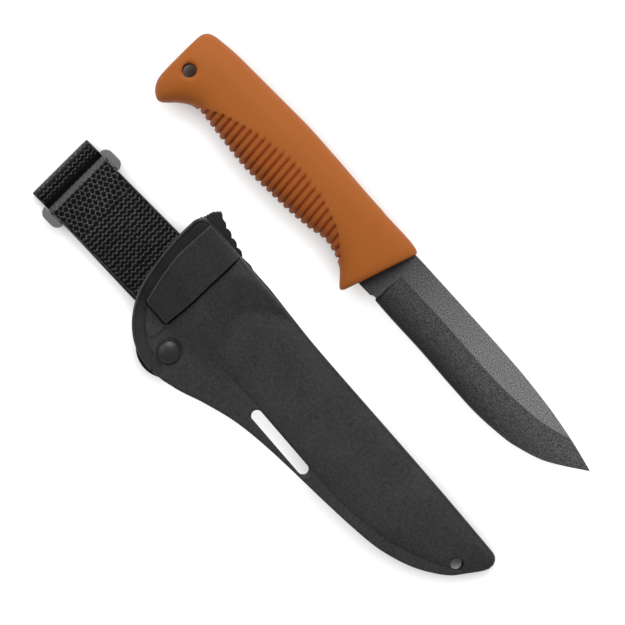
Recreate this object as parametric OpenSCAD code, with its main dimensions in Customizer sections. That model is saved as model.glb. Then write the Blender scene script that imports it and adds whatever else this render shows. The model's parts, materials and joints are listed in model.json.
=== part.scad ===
// Fixed-blade rigging knife lying beside its moulded belt sheath, in millimetres.
// +X runs toward both tips, +Y from the sheath to the knife, +Z up from the table.

/* [Layout] */
// Knife point, along X
knife_tip_x = 109.9; // [100:0.1:115]
// Knife point, along Y
knife_tip_y = 49.65; // [45:0.05:60]
// Turn of the knife away from the sheath's spine
knife_turn = 4.34; // [2:0.01:6]
// Sheath tip's spine corner, along X
sheath_tip_x = 113.7; // [108:0.1:118]
// Sheath tip's spine corner, along Y
sheath_tip_y = -1.45; // [-6:0.05:0]

/* [Blade] */
// Thickness of the blade stock
blade_t = 3.5; // [2.5:0.1:4.2]
// Thickness left at the cutting edge
edge_t = 0.3; // [0.2:0.05:0.6]
// Distance from the point back to the plunge line
grind_len = 104.7; // [103:0.1:106]
// Distance from the point back to the end of the tang
tang_end = 204; // [180:1:206]

/* [Grip] */
// Half thickness of the grip at its belly
grip_half_t = 10.5; // [9.5:0.1:10.5]
// Number of finger ribs
rib_count = 26; // [20:1:30]
// Depth of the valleys between the ribs
rib_depth = 0.8; // [0.3:0.1:1.2]
// Radius of the lanyard hole
lanyard_r = 2.8; // [2:0.1:3.2]

/* [Sheath] */
// Wall of the handle pocket
pocket_wall = 1.8; // [1.6:0.1:2.2]
// Thickness of each shell's flange
flange_t = 2.4; // [2:0.1:3]
// Half depth of the blade pocket
blade_room = 2.7; // [2.5:0.1:3]
// Radius of the tip drain hole
drain_r = 2.5; // [2:0.1:3]
// Length of the leg-strap slot
slot_len = 31.7; // [24:0.1:33]
// Width of the leg-strap slot
slot_w = 4.8; // [4.2:0.1:5.2]
// Thickness of the retention tongue
tongue_t = 2; // [1.6:0.1:2.4]

/* [Hanger and rivet] */
// Radius of the hanger's round corner about the rivet
hanger_r = 11.6; // [10:0.1:12]
// Thickness of the hanger plate
hanger_t = 5.2; // [5:0.1:5.6]
// Radius of the rivet post
post_r = 2.5; // [2:0.05:2.6]
// Radial running clearance of the hanger on the post
post_fit = 0.06; // [0.03:0.01:0.1]
// Radius of the rivet cap
cap_r = 4.6; // [4:0.1:5]

/* [Belt loop] */
// Width of the webbing
web_w = 29.2; // [24:0.1:29.4]
// Thickness of the webbing
web_t = 1.2; // [1:0.05:1.3]
// Turn of the belt loop away from the sheath's spine
strap_cant = 4.15; // [0:0.05:6]
// Overall width of the slider
slider_w = 36.1; // [34:0.1:38]
// Length of the slider along the webbing
slider_len = 10; // [9.4:0.1:10.4]

/* [Hidden] */
$fn = 48;
eps = 0.01;
// Sheath: the hanger's right-hand edge and the sheath's tip touch the table and set the tilt
rivet = [-143, -41];
hanger_top = -13.2;
hanger_foot = [rivet[0] + hanger_r, hanger_top - hanger_t];
tip_foot = [-13, -4.65];
tilt = atan2(tip_foot[1] - hanger_foot[1], tip_foot[0] - hanger_foot[0]);
sheath_rise = tip_foot[0] * sin(tilt) - tip_foot[1] * cos(tilt);
stretch = 1 / cos(tilt);
// Handle pocket, as [distance along the spine, value] pairs
pocket_mid = [[-176, -13.6], [-140, -16]];
pocket_reach = [[-176, 15], [-140, 16.8]];
pocket_depth = [[-176, 10.4], [-140, 9.2]];
// The pocket's lower side starts falling this far below its middle, over this width
apron = [5, 18];
shoulder_mid = [-129.4, -12.5];
shoulder_bend = 0.05;
shoulder_span = 14;
shoulder_len = 27;
shoulder_pow = 1.35;
blade_low = [[-140, -29], [-100, -26.8], [-64, -27.2], [-40, -24], [-20, -17], [-6, -8]];
blade_high = -0.6;
// Mouth: a quarter of a superellipse from the spine down to the lower edge
mouth_mid = [-142.7, 3];
mouth_reach = [32.4, 54];
mouth_pow = 2.25;
mouth_corner = 5;
rear_set = 1.9;
first_line = -136;
last_line = -0.7;
spine_edge = [[-136, 3.5], [-105, 2.4], [-40, 2.8], [-5, 2.5], [-3, 2.1], [-1.6, 1], [-0.7, -0.6]];
lower_edge = [[-136, -49.9], [-128.8, -47.6], [-120, -43.9], [-105.7, -39.2], [-94, -37], [-80, -35.3],
              [-64, -33.8], [-48, -32], [-36, -30.1], [-28, -27.7], [-20, -24.2], [-12, -18.8],
              [-8, -15], [-4, -8.7], [-1.5, -4.6], [-0.7, -2.8]];
mouth_rows = 11;
body_rows = 30;
// Lines along which both pockets rise from the flange, and grid columns above, over and below them
pocket_high = [[-176, 2.7], [-136, 3], [-118, 1.6], [-6, 1.6], [-2, 0.4], [-0.7, -1.2]];
pocket_low = [[-176, -37.6], [-140, -40], [-120, -31.5], [-100, -29], [-64, -29.4], [-40, -26.2],
              [-20, -19.2], [-6, -10.4], [-1.5, -3.6], [-0.7, -2.2]];
high_cols = 2;
over_cols = 17;
low_cols = 7;
across = high_cols + over_cols + low_cols;
tip_round = [-14, 13];
slot_mid = [-89.6, -31.9];
drain = [-10.3, -10.8];
boss_r = 8;
cap_seat = flange_t + 0.2;
// Tongue
tongue_left = [[-34.9, -163.2], [-28.7, -165.6], [-21.8, -167.9], [-12.5, -169.7], [2, -169.9]];
tongue_right = [[-34.9, -152], [2.2, -153.7]];
tongue_top = 2;
tongue_root = -34.9;
tongue_gap = 0.45;
window = [[-166.5, -20], [-155.5, -4]];
// Hanger and belt loop
bar_at = [-160, -22.5];
bar_r = 1.3;
bar_z = hanger_top - hanger_t / 2;
web_clear = 0.25;
bar_height = -bar_at[0] * stretch * sin(tilt) + bar_z * cos(tilt) + sheath_rise;
slider_mid = 50;
slider_bar_r = 0.8;
slider_bar_z = 5.1;
slider_bars = [1.2, -3.7];
// Grip rings outside the ribbed stretch: [top x, top y, bottom x, bottom y, half thickness]
pommel_rings = [[-222, 11, -222, -9.5, 6.2], [-221.6, 13, -221.4, -12, 8], [-220.2, 14.7, -219, -15.3, 9],
                [-217.7, 15.7, -215.5, -16.8, 9.5], [-213.2, 16.2, -210, -12.1, 9.8],
                [-208.4, 16.6, -206, -9.4, 9.9]];
guard_rings = [[-123.5, 13.6, -122.2, -13.2, 8.6], [-114.6, 13.3, -118.4, -17, 8],
               [-107.2, 12.6, -116, -18.6, 7.2], [-105.4, 11.6, -115, -17.6, 5.8]];
rib_start = -202.5;
rib_end = -125;
rib_lean = 2;
grip_top = [[-205, 16.7], [-172, 16.7], [-153, 15.7], [-134, 14.3], [-115, 13.3]];
grip_bottom = [[-202.5, -8.6], [-191, -10.3], [-172, -12.3], [-153, -12], [-141, -11], [-134, -9.8],
               [-125, -11.7]];
grip_half = [[-205, 0.95], [-175, 1], [-150, 0.96], [-125, 0.84]];
rib_zone = [[-202.5, -7.5], [-193.7, -3.2], [-181.5, 0.2], [-169.3, 2.4], [-157, 2.9], [-145, 1.2],
            [-132.6, -3.2], [-125, -9.8]];
grip_sides = 28;
grip_pow = 2.5;
lanyard = [-215.4, -0.5];

// 1 inside the outline, falling to 0 at a distance of 1 from its middle
function bow(x, n) = pow(max(0, 1 - pow(abs(x), n)), 1 / n);
function ease(x) = let (c = min(1, max(0, x))) c * c * (3 - 2 * c);
function soft_max(a, b, r) = (a + b + sqrt((a - b) * (a - b) + r * r)) / 2;
function mix(a, b, s) = a + (b - a) * s;

// How much of the handle pocket's depth is present at a place
function pocket_share(u, v) =
    let (end = shoulder_mid[0] + shoulder_bend * pow(min(shoulder_span, abs(v - shoulder_mid[1])), 2))
    1 - pow(min(1, max(0, (u - end + shoulder_len) / shoulder_len)), shoulder_pow);
function blade_bow(u, v, wall) =
    let (low = lookup(u, blade_low), mid = (blade_high + low) / 2, reach = (blade_high - low) / 2)
    (blade_room + wall) * bow((v - mid) / (reach + 1.3 * wall), 6);
function handle_bow(u, v, wall) =
    let (off = v - lookup(u, pocket_mid))
    (lookup(u, pocket_depth) + wall) * pocket_share(u - 1.2 * wall, v)
    * (off < 0 ? 1 - ease((-off - apron[0]) / (apron[1] + 2.2 * wall))
               : bow(off / (lookup(u, pocket_reach) + 1.1 * wall), 5 + wall));
function inside_z(u, v) = max(u < -6 ? blade_bow(u, v, 0) : 0, handle_bow(u, v, 0));
function outside_z(u, v) =
    let (tip = bow(max(0, (u - tip_round[0]) / tip_round[1]), 2.5))
    soft_max(flange_t, soft_max(tip * blade_bow(u, v, 1.6), handle_bow(u, v, pocket_wall), 0.6), 0.5);

// Height of one grid column, from the spine edge down to the lower edge, with its pocket between
function column_y(col, top, high, low, bottom) =
    col < high_cols ? mix(top, high, col / high_cols)
    : col < high_cols + over_cols ? mix(high, low, (1 - cos(180 * (col - high_cols) / over_cols)) / 2)
    : mix(low, bottom, (col - high_cols - over_cols) / low_cols);
// The mouth is a superellipse whose spine corner is rounded off
function mouth_x(y) =
    let (past = max(0, y - (mouth_mid[1] - 0.1 - mouth_corner)))
    mouth_mid[0] - mouth_reach[0] * bow((y - mouth_mid[1]) / mouth_reach[1], mouth_pow)
    + mouth_corner - sqrt(max(0, pow(mouth_corner, 2) - pow(past, 2)));
// The rear half's mouth is set back, so that the front's lip is the outermost
function mouth_point(col, side) =
    let (low = -37.6, turn = asin(pow((mouth_mid[1] - low) / mouth_reach[1], mouth_pow / 2)),
         past = max(0, (col - high_cols - over_cols) / low_cols), a = mix(turn, 90, past),
         y = col > high_cols + over_cols
             ? mouth_mid[1] - mouth_reach[1] * pow(sin(a), 2 / mouth_pow)
             : column_y(col, mouth_mid[1] - 0.1, 2.7, low, -51))
    [mouth_x(y) + (side < 0 ? rear_set : 0), y];
function line_point(u, col) =
    [u, column_y(col, lookup(u, spine_edge), lookup(u, pocket_high), lookup(u, pocket_low),
                 lookup(u, lower_edge))];
// Plan position of one grid point of a shell: rows count from the mouth, columns from the spine edge
function plan_point(row, col, side) =
    row < mouth_rows
    ? mix(mouth_point(col, side), line_point(first_line, col), row / mouth_rows)
    : line_point(mix(first_line, last_line, pow((row - mouth_rows) / body_rows, 0.85)), col);

// Triangles of a grid of points, numbered from base; turned faces look the other way
function sheet_faces(rows, cols, base, turned) =
    [for (i = [0 : rows - 1], j = [0 : cols - 1], k = [0, 1])
        let (a = base + i * (cols + 1) + j, b = a + 1, c = a + cols + 1, d = c + 1,
             face = k == 0 ? [a, c, b] : [b, c, d])
        turned ? [face[0], face[2], face[1]] : face];

// Triangles of the wall that joins two matching rows of points
function wall_faces(upper, lower) =
    [for (i = [0 : len(upper) - 2], k = [0, 1])
        k == 0 ? [upper[i], upper[i + 1], lower[i]] : [upper[i + 1], lower[i + 1], lower[i]]];

// Closed skin over an upper grid of points followed by a lower one
function grid_faces(rows, cols) =
    let (n = (rows + 1) * (cols + 1), last = rows * (cols + 1))
    concat(
        sheet_faces(rows, cols, 0, false),
        sheet_faces(rows, cols, n, true),
        wall_faces([for (j = [0 : cols]) j], [for (j = [0 : cols]) n + j]),
        wall_faces([for (j = [cols : -1 : 0]) last + j], [for (j = [cols : -1 : 0]) n + last + j]),
        wall_faces([for (i = [rows : -1 : 0]) i * (cols + 1)], [for (i = [rows : -1 : 0]) n + i * (cols + 1)]),
        wall_faces([for (i = [0 : rows]) i * (cols + 1) + cols], [for (i = [0 : rows]) n + i * (cols + 1) + cols]));

// Skin of one half of the sheath, between its outer and inner surface: side is 1 in front, -1 behind
module half_skin(side) {
    rows = mouth_rows + body_rows;
    plan = [for (i = [0 : rows], j = [0 : across]) plan_point(i, j, side)];
    outer = [for (p = plan) [p[0] * stretch, p[1], side * outside_z(p[0], p[1])]];
    inner = [for (p = plan) [p[0] * stretch, p[1], side * inside_z(p[0], p[1])]];
    polyhedron(side > 0 ? concat(outer, inner) : concat(inner, outer), grid_faces(rows, across),
        convexity = 6);
}

// Holes that both halves share: rivet, leg-strap slot and tip drain
module shared_holes() {
    translate([rivet[0] * stretch, rivet[1], -20]) cylinder(r = post_r + post_fit, h = 40);
    translate([drain[0] * stretch, drain[1], -20]) cylinder(r = drain_r, h = 40);
    translate([slot_mid[0] * stretch, slot_mid[1], -20]) {
        for (side = [-1, 1])
            translate([side * (slot_len - slot_w) / 2, 0, 0]) cylinder(r = slot_w / 2, h = 40);
        translate([-(slot_len - slot_w) / 2, -slot_w / 2, 0]) cube([slot_len - slot_w, slot_w, 40]);
    }
}

module on_sheath() {
    translate([sheath_tip_x, sheath_tip_y, sheath_rise]) rotate([0, tilt, 0]) children();
}

module on_knife() {
    translate([knife_tip_x, knife_tip_y, grip_half_t]) rotate([0, 0, knife_turn]) children();
}

// The belt loop lies level: x runs outward from the hanger's bar, z up from the table
module on_strap() {
    bar_x = bar_at[0] + bar_z * sin(tilt);
    translate([sheath_tip_x + bar_x, sheath_tip_y + bar_at[1], 0])
        rotate([0, 0, 180 + strap_cant]) children();
}

module front_shell() {
    color([0.19, 0.19, 0.19]) on_sheath()
        difference() {
            half_skin(1);
            shared_holes();
            // flat seat for the rivet's cap
            translate([rivet[0] * stretch, rivet[1], cap_seat]) cylinder(r = cap_r + 0.4, h = 10);
            translate([window[0][0] * stretch, window[0][1], 4])
                cube([window[1][0] - window[0][0], window[1][1] - window[0][1], 20]);
        }
}

// Thumb ramp at the mouth's spine corner, with four ridges to push against
module thumb_ramp() {
    ridge_pitch = 4.1;
    translate([0, 0, -5.6])
        linear_extrude(5.2) {
            polygon([[-144, 1.8], [-144, 3.2], [-147, 3.9], [-153, 4], [-166.4, 7], [-169.9, 8.6], [-171.6, 6],
                     [-172.6, 1.8]]);
            for (i = [0 : 3])
                translate([-153.4 - i * ridge_pitch, 3.4 + i * 0.95]) circle(r = 1.5, $fn = 24);
        }
}

module rear_shell() {
    color([0.18, 0.18, 0.18]) on_sheath()
        difference() {
            union() {
                half_skin(-1);
                thumb_ramp();
                translate([rivet[0] * stretch, rivet[1], hanger_top + 0.2])
                    cylinder(r = boss_r, h = -hanger_top - 2.2);
            }
            shared_holes();
        }
}

// Sprung tongue across the pocket's front, rooted at its lower end
module retention_tongue() {
    rows = 20;
    cols = 5;
    plan = [for (i = [0 : rows], j = [0 : cols])
        let (v = mix(tongue_root, tongue_top, (1 - cos(180 * i / rows)) / 2))
        [mix(lookup(v, tongue_left), lookup(v, tongue_right), j / cols), v]];
    upper = [for (p = plan) [p[0] * stretch, p[1], outside_z(p[0], p[1]) + tongue_gap + tongue_t]];
    lower = [for (p = plan) [p[0] * stretch, p[1], outside_z(p[0], p[1]) + tongue_gap]];
    color([0.2, 0.2, 0.2]) on_sheath() {
        polyhedron(concat(upper, lower), grid_faces(rows, cols), convexity = 4);
        // pad that reaches through the window and bears on the grip
        translate([(window[0][0] + 1) * stretch, window[0][1] + 1.5, 10])
            cube([window[1][0] - window[0][0] - 2, window[1][1] - window[0][1] - 3, 3]);
    }
}

// Domed cap with a shank that screws into the post
module rivet_cap() {
    dome_h = 2.1;
    color([0.22, 0.22, 0.22]) on_sheath()
        translate([rivet[0] * stretch, rivet[1], cap_seat])
            rotate_extrude() {
                polygon(concat([[0, 0]], [[cap_r, 0]], [[cap_r, 0.5]],
                    [for (a = [10 : 10 : 80]) [cap_r * cos(a), 0.5 + dome_h * sin(a)]],
                    [[0, 0.5 + dome_h]]));
                translate([0, -9]) square([1.7, 9 + eps]);
            }
}

// Tubular post through both shells, the hanger and the washer, with a flat rear head
module rivet_post() {
    top = cap_seat;
    head_z = hanger_foot[1] + 0.3;
    color([0.3, 0.3, 0.3]) on_sheath()
        translate([rivet[0] * stretch, rivet[1], 0])
            difference() {
                union() {
                    translate([0, 0, head_z]) cylinder(r = post_r, h = top - head_z);
                    translate([0, 0, head_z]) cylinder(r = 5.5, h = 1.2);
                }
                translate([0, 0, top - 9.5]) cylinder(r = 1.75, h = 10);
            }
}

module rivet_washer() {
    color([0.55, 0.55, 0.55]) on_sheath()
        translate([rivet[0] * stretch, rivet[1], hanger_foot[1] + 1.55])
            difference() {
                cylinder(r = 6.5, h = 0.8);
                translate([0, 0, -1]) cylinder(r = post_r + 0.05, h = 3);
            }
}

// Plate that turns on the rivet and carries the webbing on a round bar
module hanger_plate() {
    arm_w = 3;
    arm_y = web_w / 2 + 1;
    window_w = 4.4;
    color([0.16, 0.16, 0.16]) on_sheath()
        difference() {
            translate([0, 0, hanger_top - hanger_t]) {
                translate([rivet[0] * stretch, rivet[1], 0]) cylinder(r = hanger_r, h = hanger_t);
                linear_extrude(hanger_t)
                    polygon([[rivet[0] * stretch, rivet[1] - hanger_r],
                             [rivet[0] * stretch + hanger_r, rivet[1]],
                             [rivet[0] * stretch + hanger_r, -16], [-136, -9.5], [-145, -5.4],
                             [-155, -5.4], [-155, -42.5], [-151, -49.6]]);
                translate([bar_at[0] * stretch, bar_at[1], 0]) rotate([0, 0, strap_cant]) {
                    for (side = [-1, 1])
                        translate([-2.2, side * (arm_y + arm_w / 2) - arm_w / 2, 0])
                            cube([9, arm_w, hanger_t]);
                    translate([0, arm_y + 1, hanger_t / 2]) rotate([90, 0, 0])
                        cylinder(r = bar_r, h = 2 * arm_y + 2);
                }
            }
            // room behind the bar for the webbing
            translate([bar_at[0] * stretch, bar_at[1], hanger_top - hanger_t - 1])
                rotate([0, 0, strap_cant]) translate([bar_r, -arm_y, 0])
                    cube([window_w, 2 * arm_y, hanger_t + 2]);
            translate([rivet[0] * stretch, rivet[1], -30]) cylinder(r = post_r + post_fit, h = 30);
            translate([rivet[0] * stretch, rivet[1], -30])
                cylinder(r = 7.2, h = 30 + hanger_foot[1] + 2.4);
        }
}

// Centre line of the webbing, from the tail under the slider to the end sewn beneath it
function arc(c, r, a0, a1, n) = [for (i = [0 : n]) let (a = mix(a0, a1, i / n)) c + r * [cos(a), sin(a)]];
web_path =
    let (wrap = bar_r + web_clear + web_t / 2, turn = slider_bar_r + 0.2 + web_t / 2,
         outer = slider_mid + slider_bars[0], over = slider_bar_z + turn)
    concat(
        [[40, slider_bar_z - turn]],
        arc([outer, slider_bar_z], turn, -90, 90, 8),
        [[43, over], [22, over + 0.7]],
        arc([0, bar_height], wrap, 90, 270, 10),
        [[9, 2.2], [18, 0.9], [26, 0.7], [57.2, 0.7]],
        arc([59.9, 2.3], 1.6, -90, 90, 8),
        [[58.4, 3.1], [57.4, 2.25], [55.2, 2.05], [44, 2.05]]);

// Side of a thick line: each point moved along the mean of its two neighbours' normals
function line_side(path, w) =
    [for (i = [0 : len(path) - 1])
        let (a = path[max(0, i - 1)], b = path[min(len(path) - 1, i + 1)], d = (b - a) / norm(b - a))
        path[i] + w * [-d[1], d[0]]];

module belt_loop() {
    half = web_t / 2;
    back = line_side(web_path, -half);
    color([0.12, 0.12, 0.12]) on_strap()
        rotate([90, 0, 0])
            linear_extrude(web_w, center = true)
                polygon(concat(line_side(web_path, half), [for (i = [len(back) - 1 : -1 : 0]) back[i]]));
}

// Slider: two rounded end tabs joined by two bars, one inside the webbing's turn and one under it
module slider() {
    tab_w = 3;
    tab_y = slider_w / 2 - tab_w;
    corner = 2.6;
    color([0.5, 0.5, 0.5]) on_strap()
        translate([slider_mid, 0, 0]) {
            for (side = [-1, 1])
                translate([0, side * tab_y, slider_bar_z - 1.1])
                    linear_extrude(2.2)
                        polygon([[-slider_len / 2, 0], [slider_len / 2, 0],
                                 [slider_len / 2, side * (tab_w - corner * 0.8)],
                                 [slider_len / 2 - corner * 0.35, side * (tab_w - corner * 0.25)],
                                 [slider_len / 2 - corner, side * tab_w],
                                 [-slider_len / 2 + corner, side * tab_w],
                                 [-slider_len / 2 + corner * 0.35, side * (tab_w - corner * 0.25)],
                                 [-slider_len / 2, side * (tab_w - corner * 0.8)]]);
            for (x = slider_bars)
                translate([x, tab_y + 0.5, slider_bar_z]) rotate([90, 0, 0])
                    cylinder(r = slider_bar_r, h = 2 * tab_y + 1);
        }
}

// Blade: [distance from the point, height] pairs, with x counted back from the point
blade_spine = [[-118, 11], [-105, 10.8], [-93, 10.3], [-78, 9.6], [-62, 8.8], [-47, 7.8], [-13.4, 2.9],
               [-0.8, -0.2]];
blade_edge = [[-118, -12.1], [-103.5, -12.3], [-78, -13.7], [-47, -15.6], [-32, -14.7], [-16.5, -10.5],
              [-8.8, -6.2], [-0.8, -0.9]];
grind_line = [[-104, 1.2], [-78, 0.2], [-47, -1.5], [-32, -0.9], [-16.4, 2.4], [-13.4, 2.9], [-0.8, -0.2]];
stock_half = [[-13.4, 1], [-0.8, 0.25]];
blade_rows = [-114.6, -grind_len, -104, -91, -78, -62, -47, -39.5, -32, -24, -20, -16.4, -13.4, -8.8, -4.5, -0.8];

module blade() {
    rings = [for (x = blade_rows)
        let (h = blade_t / 2 * lookup(x, stock_half), top = lookup(x, blade_spine),
             low = lookup(x, blade_edge), ground = x > -grind_len + eps,
             line = ground ? min(lookup(x, grind_line), top - 0.05) : low + 2,
             foot = ground ? edge_t / 2 : h)
        each [[x, top, h], [x, line, h], [x, low, foot], [x, low, -foot], [x, line, -h], [x, top, -h]]];
    n = len(blade_rows);
    skin = [for (i = [0 : n - 2], j = [0 : 5], k = [0, 1])
        let (a = i * 6 + j, b = i * 6 + (j + 1) % 6)
        k == 0 ? [a, a + 6, b] : [b, a + 6, b + 6]];
    color([0.24, 0.24, 0.24]) on_knife() {
        polyhedron(rings, concat(skin, [[0, 1, 2, 3, 4, 5]], [[for (j = [5 : -1 : 0]) (n - 1) * 6 + j]]));
        translate([0, 0, -blade_t / 2]) linear_extrude(blade_t) tang_outline(0);
    }
}

module tang_outline(room) {
    polygon([[-114 - room, 9.5 + room], [-tang_end + 4, 6.5 + room], [-tang_end - room, 3],
             [-tang_end - room, -2.5], [-tang_end + 4, -5 - room], [-114 - room, -7 - room],
             [-112, -7 - room], [-112, 9.5 + room]]);
}

// One ring of the grip: a superellipse between a top and a bottom point
function grip_ring(top, low, half, cut, zone) =
    [for (k = [0 : grip_sides - 1])
        let (a = 360 * k / grip_sides, c = cos(a), s = sin(a),
             cc = sign(c) * pow(abs(c), 2 / grip_pow), ss = sign(s) * pow(abs(s), 2 / grip_pow),
             y = (top[1] + low[1]) / 2 + cc * (top[1] - low[1]) / 2,
             pull = 1 - cut / 11 * min(1, max(0, (zone - y) / 1.4)))
        [(top[0] + low[0]) / 2 + cc * (top[0] - low[0]) / 2 * pull,
         (top[1] + low[1]) / 2 + cc * (top[1] - low[1]) / 2 * pull, ss * half * pull]];

module grip() {
    steps = 2 * rib_count;
    ribs = [for (i = [0 : steps])
        let (x = mix(rib_start, rib_end, i / steps), tx = x - rib_lean)
        grip_ring([tx, lookup(tx, grip_top)], [x, lookup(x, grip_bottom)],
            grip_half_t * lookup(x, grip_half), i % 2 == 0 ? rib_depth : 0, lookup(x, rib_zone))];
    plain = function (r) grip_ring([r[0], r[1]], [r[2], r[3]], r[4] * grip_half_t / 10.5, 0, -99);
    rings = concat([for (r = pommel_rings) plain(r)], ribs, [for (r = guard_rings) plain(r)]);
    n = len(rings);
    g = grip_sides;
    skin = [for (i = [0 : n - 2], j = [0 : g - 1], k = [0, 1])
        let (a = i * g + j, b = i * g + (j + 1) % g)
        k == 0 ? [a, a + g, b] : [b, a + g, b + g]];
    color([0.67, 0.38, 0.18]) on_knife()
        difference() {
            polyhedron([for (r = rings) each r],
                concat(skin, [[for (j = [0 : g - 1]) j]], [[for (j = [g - 1 : -1 : 0]) (n - 1) * g + j]]));
            translate([0, 0, -blade_t / 2 - 0.02]) linear_extrude(blade_t + 0.04) tang_outline(0.02);
            // the blade's shoulder enters the grip's front
            translate([-114.62, -12.4, -blade_t / 2 - 0.02]) cube([14, 23.5, blade_t + 0.04]);
            translate([lanyard[0], lanyard[1], -15]) cylinder(r = lanyard_r, h = 30);
        }
}

blade();
grip();
front_shell();
rear_shell();
retention_tongue();
rivet_cap();
rivet_post();
rivet_washer();
hanger_plate();
belt_loop();
slider();
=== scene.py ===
"""Looks of the rigging knife and its belt sheath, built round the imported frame.

The knife lies beside its sheath. Lengths inside this file are in millimetres and become metres in
to_mesh. Three placements carry the object's own frames into the row frame: the knife's, with x counted
back from the point, the sheath's, with x counted back from its tip's spine corner, and the strap's, with
x counted outward from the hanger's bar.
"""
import json
import logging
import math
from dataclasses import dataclass, field
from enum import Enum
from typing import Callable, Optional, Sequence

import bmesh
import bpy
import numpy as np
from mathutils import Matrix, Vector


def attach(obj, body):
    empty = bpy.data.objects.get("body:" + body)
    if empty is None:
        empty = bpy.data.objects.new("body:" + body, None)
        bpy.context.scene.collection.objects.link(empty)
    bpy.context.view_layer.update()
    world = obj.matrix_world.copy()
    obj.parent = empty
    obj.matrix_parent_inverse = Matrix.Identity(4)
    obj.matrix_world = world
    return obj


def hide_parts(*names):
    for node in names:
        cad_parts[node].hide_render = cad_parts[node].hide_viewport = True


logging.basicConfig(level=logging.INFO, format="%(message)s")
LOG = logging.getLogger("knife")
MM = 0.001
Table = Sequence[tuple[float, float]]
Ring = tuple[float, float, float, float, float]
NO_RIB = (0.0, -99.0)

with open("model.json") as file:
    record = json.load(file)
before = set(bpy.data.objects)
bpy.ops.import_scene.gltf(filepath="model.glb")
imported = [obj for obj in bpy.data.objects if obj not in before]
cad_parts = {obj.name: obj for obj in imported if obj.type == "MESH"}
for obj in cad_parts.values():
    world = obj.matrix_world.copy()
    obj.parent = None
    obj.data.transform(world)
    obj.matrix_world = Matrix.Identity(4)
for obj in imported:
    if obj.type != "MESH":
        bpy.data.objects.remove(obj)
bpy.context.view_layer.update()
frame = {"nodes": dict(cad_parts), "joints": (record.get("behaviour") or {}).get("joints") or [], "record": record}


# ---------------------------------------------------------------- small maths


def table(pairs: Table, x: np.ndarray) -> np.ndarray:
    """Straight-line reading of a table of (place, value) pairs.

    Args:
        pairs: the table, in rising order of place.
        x: the places to read.

    Returns:
        The values at those places.
    """
    keys, values = zip(*pairs)
    return np.interp(x, keys, values)


def smooth_table(pairs: Table, x: np.ndarray) -> np.ndarray:
    """Smooth reading of a table, by a monotone cubic through its points.

    Args:
        pairs: the table, in rising order of place.
        x: the places to read.

    Returns:
        The values at those places.
    """
    keys, values = (np.array(a, float) for a in zip(*pairs))
    step = np.diff(keys)
    slope = np.diff(values) / step
    tangent = np.empty_like(values)
    tangent[0], tangent[-1] = slope[0], slope[-1]
    same_way = slope[:-1] * slope[1:] > 0
    total = np.where(same_way, slope[:-1] + slope[1:], 1.0)
    tangent[1:-1] = np.where(same_way, 2 * slope[:-1] * slope[1:] / total, 0.0)
    x = np.clip(x, keys[0], keys[-1])
    i = np.clip(np.searchsorted(keys, x) - 1, 0, len(step) - 1)
    t = (x - keys[i]) / step[i]
    a, b = values[i], values[i + 1]
    da, db = tangent[i] * step[i], tangent[i + 1] * step[i]
    return a + t * da + t**2 * (3 * (b - a) - 2 * da - db) + t**3 * (2 * (a - b) + da + db)


def bow(x: np.ndarray, power: float) -> np.ndarray:
    """Height of a superellipse of radius 1: 1 at the middle and 0 from a distance of 1 outwards."""
    return np.maximum(0.0, 1 - np.abs(x) ** power) ** (1 / power)


def ease(x: np.ndarray) -> np.ndarray:
    """Smooth step from 0 at x = 0 to 1 at x = 1."""
    c = np.clip(x, 0, 1)
    return c * c * (3 - 2 * c)


def soft_max(a: np.ndarray, b: np.ndarray, radius: float) -> np.ndarray:
    """The larger of a and b, with the corner between them rounded over about that radius."""
    return (a + b + np.sqrt((a - b) ** 2 + radius**2)) / 2


def mix(a: np.ndarray, b: np.ndarray, share: np.ndarray) -> np.ndarray:
    """a where share is 0 and b where it is 1."""
    return a + (b - a) * share


def signed_power(x: np.ndarray, power: float) -> np.ndarray:
    """x to a power with its sign kept."""
    return np.sign(x) * np.abs(x) ** power


def path_distance(points: np.ndarray, path: np.ndarray) -> np.ndarray:
    """Distance in plan from each point to a chain of short straight pieces.

    Args:
        points: (n, 2) places.
        path: (m, 2) corners of the chain, in order.

    Returns:
        The n distances.
    """
    best = np.full(len(points), 1e9)
    for a, b in zip(path[:-1], path[1:]):
        run = b - a
        t = np.clip(((points - a) @ run) / max(float(run @ run), 1e-12), 0, 1)
        best = np.minimum(best, np.linalg.norm(points - (a + t[:, None] * run), axis=1))
    return best


def rounded_edge(distance: np.ndarray, radius: float) -> np.ndarray:
    """How far a surface has dropped at a distance inside an edge rounded to a radius."""
    inward = np.clip(radius - distance, 0, radius)
    return radius - np.sqrt(radius**2 - inward**2)


# ---------------------------------------------------------------- placements and meshes


@dataclass(frozen=True)
class Placement:
    """Where one of the object's own frames stands in the row frame.

    Attributes:
        origin: its origin in the row frame, in mm.
        axes: 3 x 3 matrix whose columns are its axes in the row frame.
    """

    origin: tuple[float, float, float]
    axes: tuple[tuple[float, float, float], ...]

    def carry(self, points: np.ndarray) -> np.ndarray:
        """Points of this frame in the row frame, both in mm."""
        return points @ np.array(self.axes).T + np.array(self.origin)


def joint(name: str) -> dict:
    """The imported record's joint of that name."""
    return next(j for j in frame["joints"] if j["name"] == name)


def mount(name: str) -> dict:
    """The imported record's mount of that name."""
    return next(m for m in frame["record"]["mounts"] if m["name"] == name)


RIVET = (-143.0, -41.0)
LANYARD = (-215.4, -0.5)
KNIFE_TURN = math.radians(4.34)
BAR = (-160.0, -22.5)
BAR_Z = -15.8
THROUGH = (-20, 20)


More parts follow.
